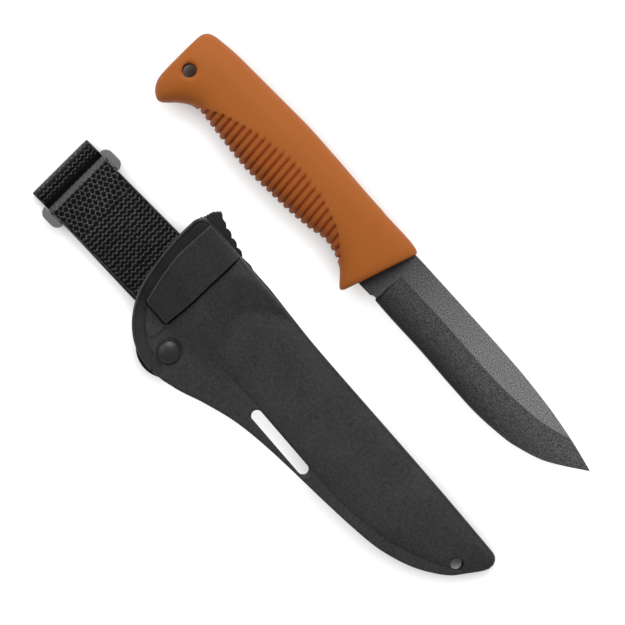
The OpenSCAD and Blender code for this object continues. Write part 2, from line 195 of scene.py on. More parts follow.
def sheath_placement() -> Placement:
    """The sheath's frame: its tilt and place come from the hanger's swivel on the rivet."""
    swivel = joint("hanger_swivel")
    s, _, c = swivel["axis"]
    x, y, z = (v / MM for v in swivel["pos_m"])
    local = RIVET[0] / c
    axes = ((c, 0.0, s), (0.0, 1.0, 0.0), (-s, 0.0, c))
    return Placement((x - local * c, y - RIVET[1], z + local * s), axes)


def knife_placement() -> Placement:
    """The knife's frame: its place comes from the lanyard hole."""
    c, s = math.cos(KNIFE_TURN), math.sin(KNIFE_TURN)
    x, y, z = (v / MM for v in mount("lanyard_hole")["pos_m"])
    axes = ((c, -s, 0.0), (s, c, 0.0), (0.0, 0.0, 1.0))
    return Placement((x - LANYARD[0] * c + LANYARD[1] * s, y - LANYARD[0] * s - LANYARD[1] * c, z), axes)


def strap_placement(sheath: Placement) -> Placement:
    """The belt loop's level frame: x runs outward from the hanger's bar, z up from the table."""
    c, s, _ = joint("slider_travel")["axis"]
    tilt_sine = joint("hanger_swivel")["axis"][0]
    x = sheath.origin[0] + BAR[0] + BAR_Z * tilt_sine
    y = sheath.origin[1] + BAR[1]
    return Placement((x, y, 0.0), ((-c, s, 0.0), (-s, -c, 0.0), (0.0, 0.0, 1.0)))


SHEATH = sheath_placement()
KNIFE = knife_placement()
STRAP = strap_placement(SHEATH)
STRETCH = 1 / SHEATH.axes[0][0]


def to_mesh(name: str, points: np.ndarray, faces: Sequence[Sequence[int]], place: Placement,
            smooth: bool = True) -> bpy.types.Object:
    """Makes an object at the row frame's origin from points of a placement.

    Args:
        name: the object's name.
        points: (n, 3) points in mm, in the placement's frame.
        faces: corner numbers of each face.
        place: the frame that the points are in.
        smooth: whether faces are shaded smooth.

    Returns:
        The new object, linked to the scene.
    """
    mesh = bpy.data.meshes.new(name)
    mesh.from_pydata((place.carry(points) * MM).tolist(), [], [list(f) for f in faces])
    mesh.polygons.foreach_set("use_smooth", [smooth] * len(mesh.polygons))
    mesh.update()
    piece = bpy.data.objects.new(name, mesh)
    bpy.context.scene.collection.objects.link(piece)
    return piece


def outward(piece: bpy.types.Object) -> None:
    """Turns all of a closed mesh's faces outwards."""
    bm = bmesh.new()
    bm.from_mesh(piece.data)
    bmesh.ops.recalc_face_normals(bm, faces=bm.faces)
    bm.to_mesh(piece.data)
    bm.free()


def store(piece: bpy.types.Object, name: str, values: np.ndarray) -> None:
    """Keeps one number per vertex on a piece, for its material to read."""
    layer = piece.data.attributes.new(name, "FLOAT", "POINT")
    layer.data.foreach_set("value", np.asarray(values, np.float32))


def ring_faces(rings: int, around: int, caps: bool = True) -> list[list[int]]:
    """Faces of a tube of closed rings, with both ends closed if caps is set."""
    faces = []
    for i in range(rings - 1):
        for j in range(around):
            a, b = i * around + j, i * around + (j + 1) % around
            faces.append([a, b, b + around, a + around])
    if caps:
        faces.append(list(range(around))[::-1])
        faces.append([(rings - 1) * around + j for j in range(around)])
    return faces


def slab_faces(rows: int, cols: int) -> list[list[int]]:
    """Faces of a closed slab: an upper grid of rows x cols points followed by a lower one."""
    n = rows * cols
    faces = []
    for i in range(rows - 1):
        for j in range(cols - 1):
            a = i * cols + j
            faces.append([a, a + cols, a + cols + 1, a + 1])
            faces.append([n + a, n + a + 1, n + a + cols + 1, n + a + cols])
    rim = list(range(cols)) + [i * cols + cols - 1 for i in range(1, rows)]
    rim += [(rows - 1) * cols + j for j in range(cols - 2, -1, -1)]
    rim += [i * cols for i in range(rows - 2, 0, -1)]
    for a, b in zip(rim, rim[1:] + rim[:1]):
        faces.append([a, b, n + b, n + a])
    return faces


def apply_stack(piece: bpy.types.Object) -> None:
    """Applies every modifier of a piece to its mesh."""
    graph = bpy.context.evaluated_depsgraph_get()
    done = bpy.data.meshes.new_from_object(piece.evaluated_get(graph))
    piece.modifiers.clear()
    old = piece.data
    piece.data = done
    done.name = old.name
    bpy.data.meshes.remove(old)


def soften(piece: bpy.types.Object, width: float, segments: int, degrees: float) -> None:
    """Rounds a piece's edges over a width in mm, where they turn by more than an angle."""
    bevel = piece.modifiers.new("soft edges", "BEVEL")
    bevel.width = width * MM
    bevel.segments = segments
    bevel.limit_method = "ANGLE"
    bevel.angle_limit = math.radians(degrees)
    apply_stack(piece)


def cut(piece: bpy.types.Object, cutter: bpy.types.Object) -> None:
    """Cuts a closed cutter out of a piece and removes the cutter."""
    mod = piece.modifiers.new("cut", "BOOLEAN")
    mod.operation = "DIFFERENCE"
    mod.solver = "EXACT"
    mod.object = cutter
    apply_stack(piece)
    bpy.data.objects.remove(cutter, do_unlink=True)


def prism(outline: np.ndarray, low: float, high: float, place: Placement) -> bpy.types.Object:
    """A closed prism over an outline, between two heights.

    Args:
        outline: (n, 2) corners in plan, counter-clockwise.
        low: lower height.
        high: upper height.
        place: the frame that the outline is in.

    Returns:
        The prism.
    """
    n = len(outline)
    points = np.vstack([np.column_stack([outline, np.full(n, level)]) for level in (low, high)])
    piece = to_mesh("cutter", points, ring_faces(2, n), place)
    outward(piece)
    return piece


def circle(x: float, y: float, radius: float, steps: int = 48) -> np.ndarray:
    """Corners of a circle in plan."""
    a = np.linspace(0, 2 * math.pi, steps, endpoint=False)
    return np.column_stack([x + radius * np.cos(a), y + radius * np.sin(a)])


def slot_outline(x: float, y: float, length: float, width: float, steps: int = 16) -> np.ndarray:
    """Corners of a slot with round ends, lying along x."""
    r, half = width / 2, (length - width) / 2
    a = np.linspace(-math.pi / 2, math.pi / 2, steps)
    right = np.column_stack([x + half + r * np.cos(a), y + r * np.sin(a)])
    left = np.column_stack([x - half - r * np.cos(a), y - r * np.sin(a)])
    return np.vstack([right, left])


# ---------------------------------------------------------------- shader helpers


class Nodes:
    """A small builder for one material's node tree."""

    def __init__(self, name: str) -> None:
        """Starts an empty material with an output and a Principled BSDF."""
        self.material = bpy.data.materials.new(name)
        self.material.use_nodes = True
        self.tree = self.material.node_tree
        self.shader = self.tree.nodes["Principled BSDF"]

    def node(self, kind: str, **settings: object) -> bpy.types.Node:
        """Adds a node of a type and sets its properties."""
        made = self.tree.nodes.new(kind)
        for key, value in settings.items():
            setattr(made, key, value)
        return made

    def link(self, source: bpy.types.NodeSocket, target: bpy.types.NodeSocket) -> None:
        """Joins two sockets."""
        self.tree.links.new(source, target)

    def set(self, **values: object) -> None:
        """Sets all-over values on the shader's own sockets, with _ standing for a space."""
        for key, value in values.items():
            self.shader.inputs[key.replace("_", " ")].default_value = value

    def attribute(self, name: str) -> bpy.types.NodeSocket:
        """The values that a piece stores under a name."""
        return self.node("ShaderNodeAttribute", attribute_name=name).outputs["Fac"]

    def group(self, tree: bpy.types.NodeTree, **values: object) -> bpy.types.Node:
        """Places a shader node group with its own values."""
        made = self.node("ShaderNodeGroup")
        made.node_tree = tree
        for key, value in values.items():
            made.inputs[key.replace("_", " ")].default_value = value
        return made

    def bump(self, height: bpy.types.NodeSocket, strength: float, distance_mm: float) -> None:
        """Shades the surface as if it rose with a height."""
        made = self.node("ShaderNodeBump")
        made.inputs["Strength"].default_value = strength
        made.inputs["Distance"].default_value = distance_mm * MM
        self.link(height, made.inputs["Height"])
        self.link(made.outputs["Normal"], self.shader.inputs["Normal"])


def new_group(name: str, inputs: dict[str, float], outputs: Sequence[str]
              ) -> tuple[bpy.types.NodeTree, bpy.types.Node, bpy.types.Node]:
    """Starts a shader node group whose sockets are all numbers.

    Args:
        name: the group's name.
        inputs: name and default of each input.
        outputs: name of each output.

    Returns:
        The tree, its input node and its output node.
    """
    tree = bpy.data.node_groups.new(name, "ShaderNodeTree")
    for label, default in inputs.items():
        made = tree.interface.new_socket(label, in_out="INPUT", socket_type="NodeSocketFloat")
        made.default_value = default
    for label in outputs:
        tree.interface.new_socket(label, in_out="OUTPUT", socket_type="NodeSocketFloat")
    return tree, tree.nodes.new("NodeGroupInput"), tree.nodes.new("NodeGroupOutput")


def feed(tree: bpy.types.NodeTree, value: object, socket: bpy.types.NodeSocket) -> None:
    """Gives a socket a number, or links another socket to it."""
    if isinstance(value, (int, float)):
        socket.default_value = value
    else:
        tree.links.new(value, socket)


def math_node(tree: bpy.types.NodeTree, kind: str, a: object, b: object = 0.0) -> bpy.types.NodeSocket:
    """A Math node on two sockets or numbers, and its result."""
    made = tree.nodes.new("ShaderNodeMath")
    made.operation = kind
    for socket, value in zip(made.inputs, (a, b)):
        feed(tree, value, socket)
    return made.outputs[0]


def noise_node(tree: bpy.types.NodeTree, scale: object, detail: float = 2.0) -> bpy.types.Node:
    """A noise over the piece's own places, with a number or a socket for its scale."""
    made = tree.nodes.new("ShaderNodeTexNoise")
    made.inputs["Detail"].default_value = detail
    feed(tree, scale, made.inputs["Scale"])
    place = tree.nodes.new("ShaderNodeTexCoord")
    tree.links.new(place.outputs["Object"], made.inputs["Vector"])
    return made


BROAD_SCALE = 45.0
FINE_ROUGHNESS = 0.65


def grain_group() -> bpy.types.NodeTree:
    """Fine moulded or blasted grain: a height, a tint factor and a roughness."""
    tree, given, out = new_group(
        "surface grain", {"Size mm": 0.4, "Tint": 0.2, "Roughness": 0.5, "Spread": 0.1},
        ("Height", "Tint", "Roughness"))
    fine = noise_node(tree, math_node(tree, "DIVIDE", 1000.0, given.outputs["Size mm"]), 3)
    fine.inputs["Roughness"].default_value = FINE_ROUGHNESS
    broad = noise_node(tree, BROAD_SCALE, 4)
    centred = math_node(tree, "SUBTRACT", fine.outputs["Fac"], 0.5)
    wide = math_node(tree, "SUBTRACT", broad.outputs["Fac"], 0.5)
    both = math_node(tree, "ADD", centred, math_node(tree, "MULTIPLY", wide, 0.5))
    tint = math_node(tree, "ADD", math_node(tree, "MULTIPLY", both, given.outputs["Tint"]), 1.0)
    rough = math_node(tree, "ADD", math_node(tree, "MULTIPLY", both, given.outputs["Spread"]),
                      given.outputs["Roughness"])
    for source, label in ((fine.outputs["Fac"], "Height"), (tint, "Tint"), (rough, "Roughness")):
        tree.links.new(source, out.inputs[label])
    return tree


def shade(nodes: Nodes, color: bpy.types.NodeSocket, factor: bpy.types.NodeSocket) -> bpy.types.NodeSocket:
    """A colour multiplied by a factor that changes over the surface."""
    made = nodes.node("ShaderNodeVectorMath", operation="SCALE")
    nodes.link(color, made.inputs[0])
    nodes.link(factor, made.inputs["Scale"])
    return made.outputs[0]


def plain_color(nodes: Nodes, color: tuple[float, float, float]) -> bpy.types.NodeSocket:
    """A constant colour as a socket."""
    made = nodes.node("ShaderNodeRGB")
    made.outputs[0].default_value = (*color, 1)
    return made.outputs[0]


def mixed(nodes: Nodes, share: bpy.types.NodeSocket, a: bpy.types.NodeSocket, b: bpy.types.NodeSocket
          ) -> bpy.types.NodeSocket:
    """Colour a where share is 0 and b where it is 1."""
    made = nodes.node("ShaderNodeMix", data_type="RGBA")
    nodes.link(share, made.inputs["Factor"])
    nodes.link(a, made.inputs[6])
    nodes.link(b, made.inputs[7])
    return made.outputs[2]


GRAIN = grain_group()


class Sheen(Enum):
    """How glossy a moulded finish is: roughness and coat weight."""

    DULL = (0.62, 0.0)
    SATIN = (0.55, 0.0)
    GLOSS = (0.3, 0.15)


@dataclass(frozen=True)
class Moulded:
    """A moulded plastic or rubber finish.

    Attributes:
        name: the material's name.
        color: linear base colour.
        sheen: how glossy it is.
        grain_mm: size of its grain.
        grain_depth: strength of the grain's bump.
        tint: how much its colour varies at random.
        specular: level of its mirror-like reflection.
        painted_light: linear colour of painted shade or painted highlight, mixed in where a piece stores a share,
            if it has any.
    """

    name: str
    color: tuple[float, float, float]
    sheen: Sheen = Sheen.SATIN
    grain_mm: float = 0.35
    grain_depth: float = 0.25
    tint: float = 0.35
    specular: float = 0.3
    painted_light: Optional[tuple[float, float, float]] = None

    def build(self) -> bpy.types.Material:
        """Builds the material; a piece may store "hollow", its share of painted shade or painted highlight, where
        its second colour shows.
        """
        n = Nodes(self.name)
        rough, coat = self.sheen.value
        grain = n.group(GRAIN, Size_mm=self.grain_mm, Tint=self.tint, Roughness=rough, Spread=0.15)
        color = shade(n, plain_color(n, self.color), grain.outputs["Tint"])
        if self.painted_light:
            color = mixed(n, n.attribute("painted_light"), color, plain_color(n, self.painted_light))
        n.link(color, n.shader.inputs["Base Color"])
        n.link(grain.outputs["Roughness"], n.shader.inputs["Roughness"])
        n.bump(grain.outputs["Height"], self.grain_depth, 0.1)
        n.set(Coat_Weight=coat, Specular_IOR_Level=self.specular)
        return n.material


@dataclass(frozen=True)
class SpeckledCoat:
    """Powder coat on the blade, speckled all over, with painted light and shade and a bare ground edge.

    Attributes:
        name: the material's name.
        dark: linear colour of the coat in painted shade, where its share of painted light is 0.
        light: linear colour of the coat in painted light, where that share is 1.
        steel: linear colour of the bare edge.
        speck_mm: size of the specks.
        contrast: how far the specks vary the colour.
        noise_range: part of the noise's range that the specks use.
    """

    name: str
    dark: tuple[float, float, float] = (0.011, 0.011, 0.0111)
    light: tuple[float, float, float] = (0.19, 0.19, 0.191)
    steel: tuple[float, float, float] = (0.12, 0.12, 0.122)
    speck_mm: float = 0.36
    contrast: float = 0.75
    noise_range: tuple[float, float] = (0.36, 0.64)

    def build(self) -> bpy.types.Material:
        """Builds the material; the blade stores "tone", its share of painted light, and "bare"."""
        n = Nodes(self.name)
        noise = noise_node(n.tree, 1000 / self.speck_mm, 1)
        ramp = n.node("ShaderNodeMapRange")
        limits = (*self.noise_range, 1 - self.contrast, 1 + self.contrast)
        for label, value in zip(("From Min", "From Max", "To Min", "To Max"), limits):
            ramp.inputs[label].default_value = value
        n.link(noise.outputs["Fac"], ramp.inputs["Value"])
        coat = mixed(n, n.attribute("painted_light_share"), plain_color(n, self.dark), plain_color(n, self.light))
        coat = shade(n, coat, ramp.outputs["Result"])
        color = mixed(n, n.attribute("bare"), coat, plain_color(n, self.steel))
        n.link(color, n.shader.inputs["Base Color"])
        n.link(n.attribute("bare"), n.shader.inputs["Metallic"])
        n.bump(noise.outputs["Fac"], 0.5, 0.1)
        n.set(Specular_IOR_Level=0.2, Roughness=0.5)
        return n.material


@dataclass(frozen=True)
class Webbing:
    """Woven webbing: zigzag yarns with a painted highlight on their tops, over gaps in painted shade.

    Attributes:
        name: the material's name.
        gap: linear colour between the yarns, a painted shade.
        yarn: linear colour of the yarns' tops, a painted highlight.
        painted_shadow: how bright the painted shadow is, as a share of the gap's colour.
        pitch: distance between rows of yarn along the strip, in mm.
        period: length of one zigzag across the strip, in mm.
        half_width: half the strip's width, in mm.
        uneven_mm: distance over which the yarns stray, in mm.
        stray: how far they stray, in mm for the whole range of the noise.
        swing: half height of a zigzag, as a share of the pitch, and what an open weave adds to it.
        yarn_half: half width of a yarn, as a share of the pitch.
        crest: height of a yarn where it crosses the middle of a row, and what its bends add to it.
        selvedge: width of the plain edge, in mm, and of the groove beside it.
        selvedge_height: height of the edge cord.
    """

    name: str
    gap: tuple[float, float, float] = (0.0042, 0.0042, 0.0044)
    yarn: tuple[float, float, float] = (0.14, 0.14, 0.143)
    painted_shadow: float = 0.3
    pitch: float = 2.0
    period: float = 2.2
    half_width: float = 14.6
    uneven_mm: float = 1.6
    stray: float = 1.3
    swing: tuple[float, float] = (0.2, 0.09)
    yarn_half: float = 0.27
    crest: tuple[float, float] = (0.35, 0.8)
    selvedge: tuple[float, float] = (1.1, 0.45)
    selvedge_height: float = 0.4

    def weave(self) -> bpy.types.NodeTree:
        """Builds the group that turns places on the strip into the height of its yarns."""
        tree, given, out = new_group("zigzag weave", {"Run": 0.0, "Across": 0.0, "Open": 0.0}, ("Height",))
        run, across, loose = (given.outputs[label] for label in ("Run", "Across", "Open"))

        def calc(kind: str, a: object, b: object = 0.0) -> bpy.types.NodeSocket:
            """A Math node in this group."""
            return math_node(tree, kind, a, b)

        row_place = calc("DIVIDE", run, self.pitch)
        row = calc("ROUND", row_place)
        turn = calc("MULTIPLY", calc("PINGPONG", row, 1.0), loose)
        way = calc("SUBTRACT", 1.0, calc("MULTIPLY", turn, 2.0))
        swing = calc("PINGPONG", calc("DIVIDE", across, self.period / 2), 1.0)
        swing = calc("SUBTRACT", calc("MULTIPLY", swing, 2.0), 1.0)
        reach = calc("ADD", calc("MULTIPLY", loose, self.swing[1]), self.swing[0])
        line = calc("MULTIPLY", calc("MULTIPLY", swing, reach), way)
        off = calc("ABSOLUTE", calc("SUBTRACT", calc("SUBTRACT", row_place, row), line))
        ridge = calc("MAXIMUM", calc("SUBTRACT", 1.0, calc("DIVIDE", off, self.yarn_half)))
        bead = calc("MULTIPLY", calc("POWER", calc("ABSOLUTE", swing), 2.0), self.crest[1])
        height = calc("MULTIPLY", ridge, calc("ADD", bead, self.crest[0]))
        edge = calc("SUBTRACT", calc("ABSOLUTE", across), self.half_width - self.selvedge[0])
        plain = calc("LESS_THAN", edge)
        cord = calc("MULTIPLY", calc("GREATER_THAN", edge, self.selvedge[1]), self.selvedge_height)
        tree.links.new(calc("ADD", calc("MULTIPLY", height, plain), cord), out.inputs["Height"])
        return tree

    def build(self) -> bpy.types.Material:
        """Builds the material; the strip stores "run", "across", "open", and painted light as "worn" and "sunk".
        """
        n = Nodes(self.name)
        weave = n.group(self.weave())
        uneven = noise_node(n.tree, 1000 / self.uneven_mm)
        split = n.node("ShaderNodeSeparateColor")
        n.link(uneven.outputs["Color"], split.inputs["Color"])
        for socket, key, channel in (("Run", "run", "Red"), ("Across", "across", "Green")):
            off = math_node(n.tree, "SUBTRACT", split.outputs[channel], 0.5)
            stray = math_node(n.tree, "MULTIPLY", off, self.stray)
            n.link(math_node(n.tree, "ADD", n.attribute(key), stray), weave.inputs[socket])
        n.link(n.attribute("open"), weave.inputs["Open"])
        grain = n.group(GRAIN, Size_mm=0.5, Tint=2.4, Roughness=0.75, Spread=0.2)
        # Painted light: the yarn tops take the highlight colour and the gaps between them the shade colour.
        color = mixed(n, weave.outputs["Height"], plain_color(n, self.gap), plain_color(n, self.yarn))
        # Painted highlight on the crests of the strip's folds, in the yarn colour.
        color = mixed(n, n.attribute("painted_fold_highlight"), color, plain_color(n, self.yarn))
        # Painted shadow, darker than the gaps, where the strip lies deep between its folds.
        painted_shadow = plain_color(n, tuple(self.painted_shadow * c for c in self.gap))
        color = mixed(n, n.attribute("painted_shadow"), color, painted_shadow)
        n.link(shade(n, color, grain.outputs["Tint"]), n.shader.inputs["Base Color"])
        n.link(grain.outputs["Roughness"], n.shader.inputs["Roughness"])
        n.bump(weave.outputs["Height"], 0.8, 0.4)
        n.set(Specular_IOR_Level=0.06)
        return n.material


@dataclass(frozen=True)
class Metal:
    """A plated or painted metal finish."""

    name: str
    color: tuple[float, float, float]
    metallic: float = 1.0
    roughness: float = 0.3

    def build(self) -> bpy.types.Material:
        """Builds the material with fine scratches in its roughness."""
        n = Nodes(self.name)
        grain = n.group(GRAIN, Size_mm=0.3, Tint=0.25, Roughness=self.roughness, Spread=0.25)
        n.link(shade(n, plain_color(n, self.color), grain.outputs["Tint"]), n.shader.inputs["Base Color"])
        n.link(grain.outputs["Roughness"], n.shader.inputs["Roughness"])
        n.set(Metallic=self.metallic)
        return n.material


def dress(piece: bpy.types.Object, material: bpy.types.Material) -> None:
    """Gives a piece one material."""
    piece.data.materials.clear()
    piece.data.materials.append(material)


def install(piece: bpy.types.Object, body: str, slot: str, *nodes: str) -> None:
    """Hands a finished piece over to the frame.

    Args:
        piece: the piece, in place.
        body: the CAD body that it moves with.
        slot: the record's material slot; not used.
        nodes: the CAD nodes that it stands for.
    """
    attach(piece, body)
    if nodes:
        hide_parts(*nodes)
    LOG.info("%s rides on %s with %d faces", piece.name, body, len(piece.data.polygons))


# ---------------------------------------------------------------- the knife


@dataclass
class Blade:
    """The blade: ricasso, flats, bevels and the bare ground edge."""

    stock: float = 3.5
    edge: float = 0.3
    bare_width: float = 0.35
    plunge: float = -104.7
    start: float = -114.6
    spine: Table = ((-118, 11), (-105, 10.8), (-93, 10.3), (-78, 9.6), (-62, 8.8), (-47, 7.8), (-30, 5.9),
                    (-13.4, 2.9), (-0.5, -0.3))
    low: Table = ((-118, -12.1), (-106.3, -12.2), (-105.6, -11.4), (-104.4, -11.5), (-103.8, -12.3),
                  (-78, -13.7), (-60, -15.0), (-47, -15.6), (-32, -14.7), (-23, -12.7), (-16.5, -10.5),
                  (-8.8, -6.2), (-0.5, -0.7))
    grind: Table = ((-104, 1.2), (-78, 0.2), (-47, -1.5), (-32, -0.9), (-23, 0.5), (-16.4, 2.2),
                    (-13.4, 2.9), (-0.5, -0.3))
    # Painted light and shade: the flats are painted lighter than the bevels, and all three tables grow darker
    # towards the ricasso.
    flat_painted_light: Table = ((-114, 0.1), (-107, 0.18), (-103, 0.34), (-90, 0.6), (-62, 0.92), (-30, 1.0),
                        (-0.5, 0.9))
    bevel_painted_light: Table = ((-104, 0.24), (-60, 0.325), (-30, 0.36), (-14, 0.45), (-0.5, 0.5))
    edge_painted_light: Table = ((-104, 0.0), (-60, 0.0), (-35, 0.12), (-14, 0.3), (-0.5, 0.4))
    tip_share: Table = ((-13.4, 1), (-0.5, 0.22))
    tip: float = -0.5
    plunge_run: float = 1.8
    chamfer: float = 0.25
    stations: int = 150
    coat: SpeckledCoat = field(default_factory=lambda: SpeckledCoat("speckled powder coat"))

    def section(self, x: float) -> list[tuple[float, float, float, float]]:
        """Half cross-section at a place.

        Args:
            x: distance along the blade, negative from the point.

        Returns:
            Points from the spine to the edge, each (height, half thickness, painted light share, bare share).
        """
        at = np.array([x])
        top, low = float(smooth_table(self.spine, at)[0]), float(smooth_table(self.low, at)[0])
        half = self.stock / 2 * float(table(self.tip_share, at)[0])
        ground = float(ease(np.array([(x - self.plunge) / 1.6]))[0])
        line = mix(low + 1.0, min(float(smooth_table(self.grind, at)[0]), top - 0.12), ground)
        foot = mix(half, self.edge / 2, ground)
        bare_at = low + min(self.bare_width, 0.35 * (line - low))
        bare_half = mix(half, foot + (half - foot) * (bare_at - low) / max(line - low, 0.1) * 0.8, ground)
        chamfer = self.chamfer * min(1, half)
        tones = (self.flat_painted_light, self.bevel_painted_light, self.edge_painted_light)
        flat, high, low_painted_light = (float(table(painted_light_share, at)[0]) for painted_light_share in tones)
        high, low_painted_light = mix(flat, high, ground), mix(flat, low_painted_light, ground)
        rows = [(top, half - chamfer, flat, 0), (top - chamfer, half, flat, 0)]
        rows += [(mix(top - chamfer, line, k / 6), half, flat, 0) for k in (1, 2, 3, 4, 5)]
        rows += [(line + 0.1, half, flat, 0), (line - 0.15, mix(half, half - 0.03, ground), high, 0)]
        for k in range(1, 8):
            rows.append((mix(line - 0.15, bare_at, k / 8), mix(half, bare_half, k / 8),
                         mix(high, low_painted_light, max(0, k - 2) / 6), 0))
        rows += [(bare_at + 0.06, bare_half, low_painted_light, 0), (bare_at - 0.02, bare_half, low_painted_light, ground),
                 (low, foot, low_painted_light, ground)]
        return rows

    def build(self) -> bpy.types.Object:
        """Builds the blade from its point to just inside the grip."""
        near = np.linspace(self.start, self.plunge - 0.3, 12)
        full = self.plunge + self.plunge_run
        plunge = np.linspace(self.plunge - 0.1, full, 14)
        far = full + (self.tip - self.plunge - self.plunge_run) * np.linspace(0, 1, self.stations)[1:] ** 0.9
        points, painted_light_share, bare = [], [], []
        for x in np.concatenate([near, plunge, far]):
            half = self.section(float(x))
            ring = half + [(y, -z, f, b) for y, z, f, b in half[::-1]]
            points += [(x, y, z) for y, z, _, _ in ring]
            painted_light_share += [t for _, _, t, _ in ring]
            bare += [b for _, _, _, b in ring]
        around = 2 * len(half)
        rings = len(points) // around
        piece = to_mesh("blade_steel", np.array(points), ring_faces(rings, around), KNIFE, smooth=False)
        store(piece, "painted_light_share", np.array(painted_light_share))
        store(piece, "bare", np.array(bare))
        outward(piece)
        dress(piece, self.coat.build())
        install(piece, "knife", "coated_steel", "blade")
        return piece


@dataclass
class Grip:
    """The moulded grip: ribs under the fingers, guard, beaked pommel and lanyard hole."""

    half: float = 10.5
    ribs: int = 26
    rib_depth: float = 1.0
    zone_sink: float = 0.22
    rib_start: float = -202.5
    rib_end: float = -125.0
    power: float = 2.5
    around: int = 120
    per_rib: int = 12
    hole_r: float = 2.8
    hole_round: float = 1.3
    entry_half: float = 1.78
    zone_edge: float = 0.6
    depth_scale: float = 11.0
    # Each ring: (top x, top y, bottom x, bottom y, half thickness)
    pommel: Sequence[Ring] = (
        (-222.2, 9.6, -222.2, -8.3, 4.6), (-222.1, 11.4, -222.1, -9.6, 6.2),
        (-221.6, 13.2, -221.5, -12.1, 8.0), (-220.2, 14.8, -219.2, -15.4, 9.0),
        (-217.7, 15.7, -215.6, -16.9, 9.5), (-213.2, 16.2, -210, -12.1, 9.8),
        (-208.4, 16.6, -206, -9.4, 9.9))
    guard: Sequence[Ring] = (
        (-123.5, 13.6, -122.2, -13.2, 8.6), (-114.6, 13.3, -118.4, -17, 8.0),
        (-110.5, 13.1, -117, -18.4, 7.7), (-107.2, 12.6, -116, -18.7, 7.2),
        (-105.6, 11.9, -115.2, -18.0, 6.5), (-105.2, 11.2, -114.8, -17.2, 5.7))
    top: Table = ((-205, 16.7), (-172, 16.7), (-153, 15.7), (-134, 14.3), (-115, 13.3))
    low: Table = ((-202.5, -8.6), (-191, -10.3), (-172, -12.3), (-153, -12), (-141, -11), (-134, -9.8),
                  (-125, -11.7))
    share: Table = ((-205, 0.95), (-175, 1), (-150, 0.96), (-125, 0.84))
    zone: Table = ((-202.5, -7.5), (-193.7, -3.2), (-181.5, 0.2), (-169.3, 2.4), (-157, 2.9), (-145, 1.2),
                   (-132.6, -3.2), (-125, -9.8))
    # The grip's second colour is a painted shade for its rib valleys.
    finish: Moulded = field(default_factory=lambda: Moulded(
        "grip rubber", (0.375, 0.104, 0.016), Sheen.DULL, grain_mm=0.4, grain_depth=0.2, tint=0.15,
        specular=0.2, painted_light=(0.235, 0.036, 0.004)))

    def rings(self) -> np.ndarray:
        """Top and bottom points and half thickness of every ring, then its rib phase and ribbed zone."""
        steps = self.ribs * self.per_rib
        x = np.linspace(self.rib_start, self.rib_end, steps + 1)
        lean = np.interp(x, [self.rib_start, -135, self.rib_end], [2.2, 2.0, 1.2])
        top_x = x - lean
        phase = np.linspace(0, self.ribs, steps + 1)
        ribbed = np.column_stack([top_x, smooth_table(self.top, top_x), x, smooth_table(self.low, x),
                                  self.half * smooth_table(self.share, x), phase, table(self.zone, x)])
        plain = [np.array([[*r, *NO_RIB] for r in rows]) for rows in (self.pommel, self.guard)]
        return np.vstack([self.dense(np.vstack([plain[0], ribbed[:1]]))[:-1], ribbed,
                          self.dense(np.vstack([ribbed[-1:], plain[1]]))[1:]])

    @staticmethod
    def dense(rows: np.ndarray, per: int = 5) -> np.ndarray:
        """Rows with smooth ones put in between, by a centripetal curve through them."""
        pad = np.vstack([2 * rows[0] - rows[1], rows, 2 * rows[-1] - rows[-2]])
        out = []
        for i in range(len(rows) - 1):
            p0, p1, p2, p3 = pad[i:i + 4]
            pairs = ((p0, p1), (p1, p2), (p2, p3))
            d = [max(np.linalg.norm((b - a)[:4]), 1e-3) ** 0.5 for a, b in pairs]
            m1 = (p1 - p0) / d[0] - (p2 - p0) / (d[0] + d[1]) + (p2 - p1) / d[1]
            m2 = (p2 - p1) / d[1] - (p3 - p1) / (d[1] + d[2]) + (p3 - p2) / d[2]
            m1, m2 = m1 * d[1], m2 * d[1]
            for k in range(per):
                t = k / per
                row = ((2 * t**3 - 3 * t**2 + 1) * p1 + (t**3 - 2 * t**2 + t) * m1
                       + (3 * t**2 - 2 * t**3) * p2 + (t**3 - t**2) * m2)
                row[5:] = NO_RIB
                out.append(row)
        out.append(rows[-1])
        return np.array(out)

    def build(self) -> bpy.types.Object:
        """Builds the grip."""
        rows = self.rings()
        a = np.linspace(0, 2 * math.pi, self.around, endpoint=False)
        c, s = signed_power(np.cos(a), 2 / self.power), signed_power(np.sin(a), 2 / self.power)
        mid_x, mid_y = (rows[:, 0] + rows[:, 2]) / 2, (rows[:, 1] + rows[:, 3]) / 2
        arm_x, arm_y = (rows[:, 0] - rows[:, 2]) / 2, (rows[:, 1] - rows[:, 3]) / 2
        y = mid_y[:, None] + arm_y[:, None] * c
        valley = np.abs(np.cos(math.pi * rows[:, 5])) ** 3
        inside = ease((rows[:, 6, None] - y) / self.zone_edge)
        dip = np.maximum(valley[:, None], self.zone_sink) * inside
        pull = 1 - self.rib_depth / self.depth_scale * dip
        x = mid_x[:, None] + arm_x[:, None] * c * pull
        y = mid_y[:, None] + arm_y[:, None] * c * pull
        z = rows[:, 4, None] * s * pull
        off = np.hypot(x - LANYARD[0], y - LANYARD[1])
        z = z - np.sign(z) * rounded_edge(np.maximum(off - self.hole_r, 0), self.hole_round)
        points = np.stack([x, y, z], axis=-1).reshape(-1, 3)
        piece = to_mesh("grip_body", points, ring_faces(len(rows), self.around), KNIFE)
        # Painted shade in the rib valleys; the whole ribbed zone also takes at least zone_sink of the darker
        # second colour.
        darker = np.maximum(valley[:, None] ** 2, self.zone_sink) * inside
        store(piece, "painted_light", darker.reshape(-1))
        outward(piece)
        cut(piece, prism(circle(*LANYARD, self.hole_r), *THROUGH, KNIFE))
        blade_entry = np.array([(-114.8, -12.5), (-100, -12.5), (-100, 11.1), (-114.8, 11.1)])
        cut(piece, prism(blade_entry, -self.entry_half, self.entry_half, KNIFE))
        dress(piece, self.finish.build())
        install(piece, "knife", "grip_rubber", "grip")
        return piece


# ---------------------------------------------------------------- the sheath


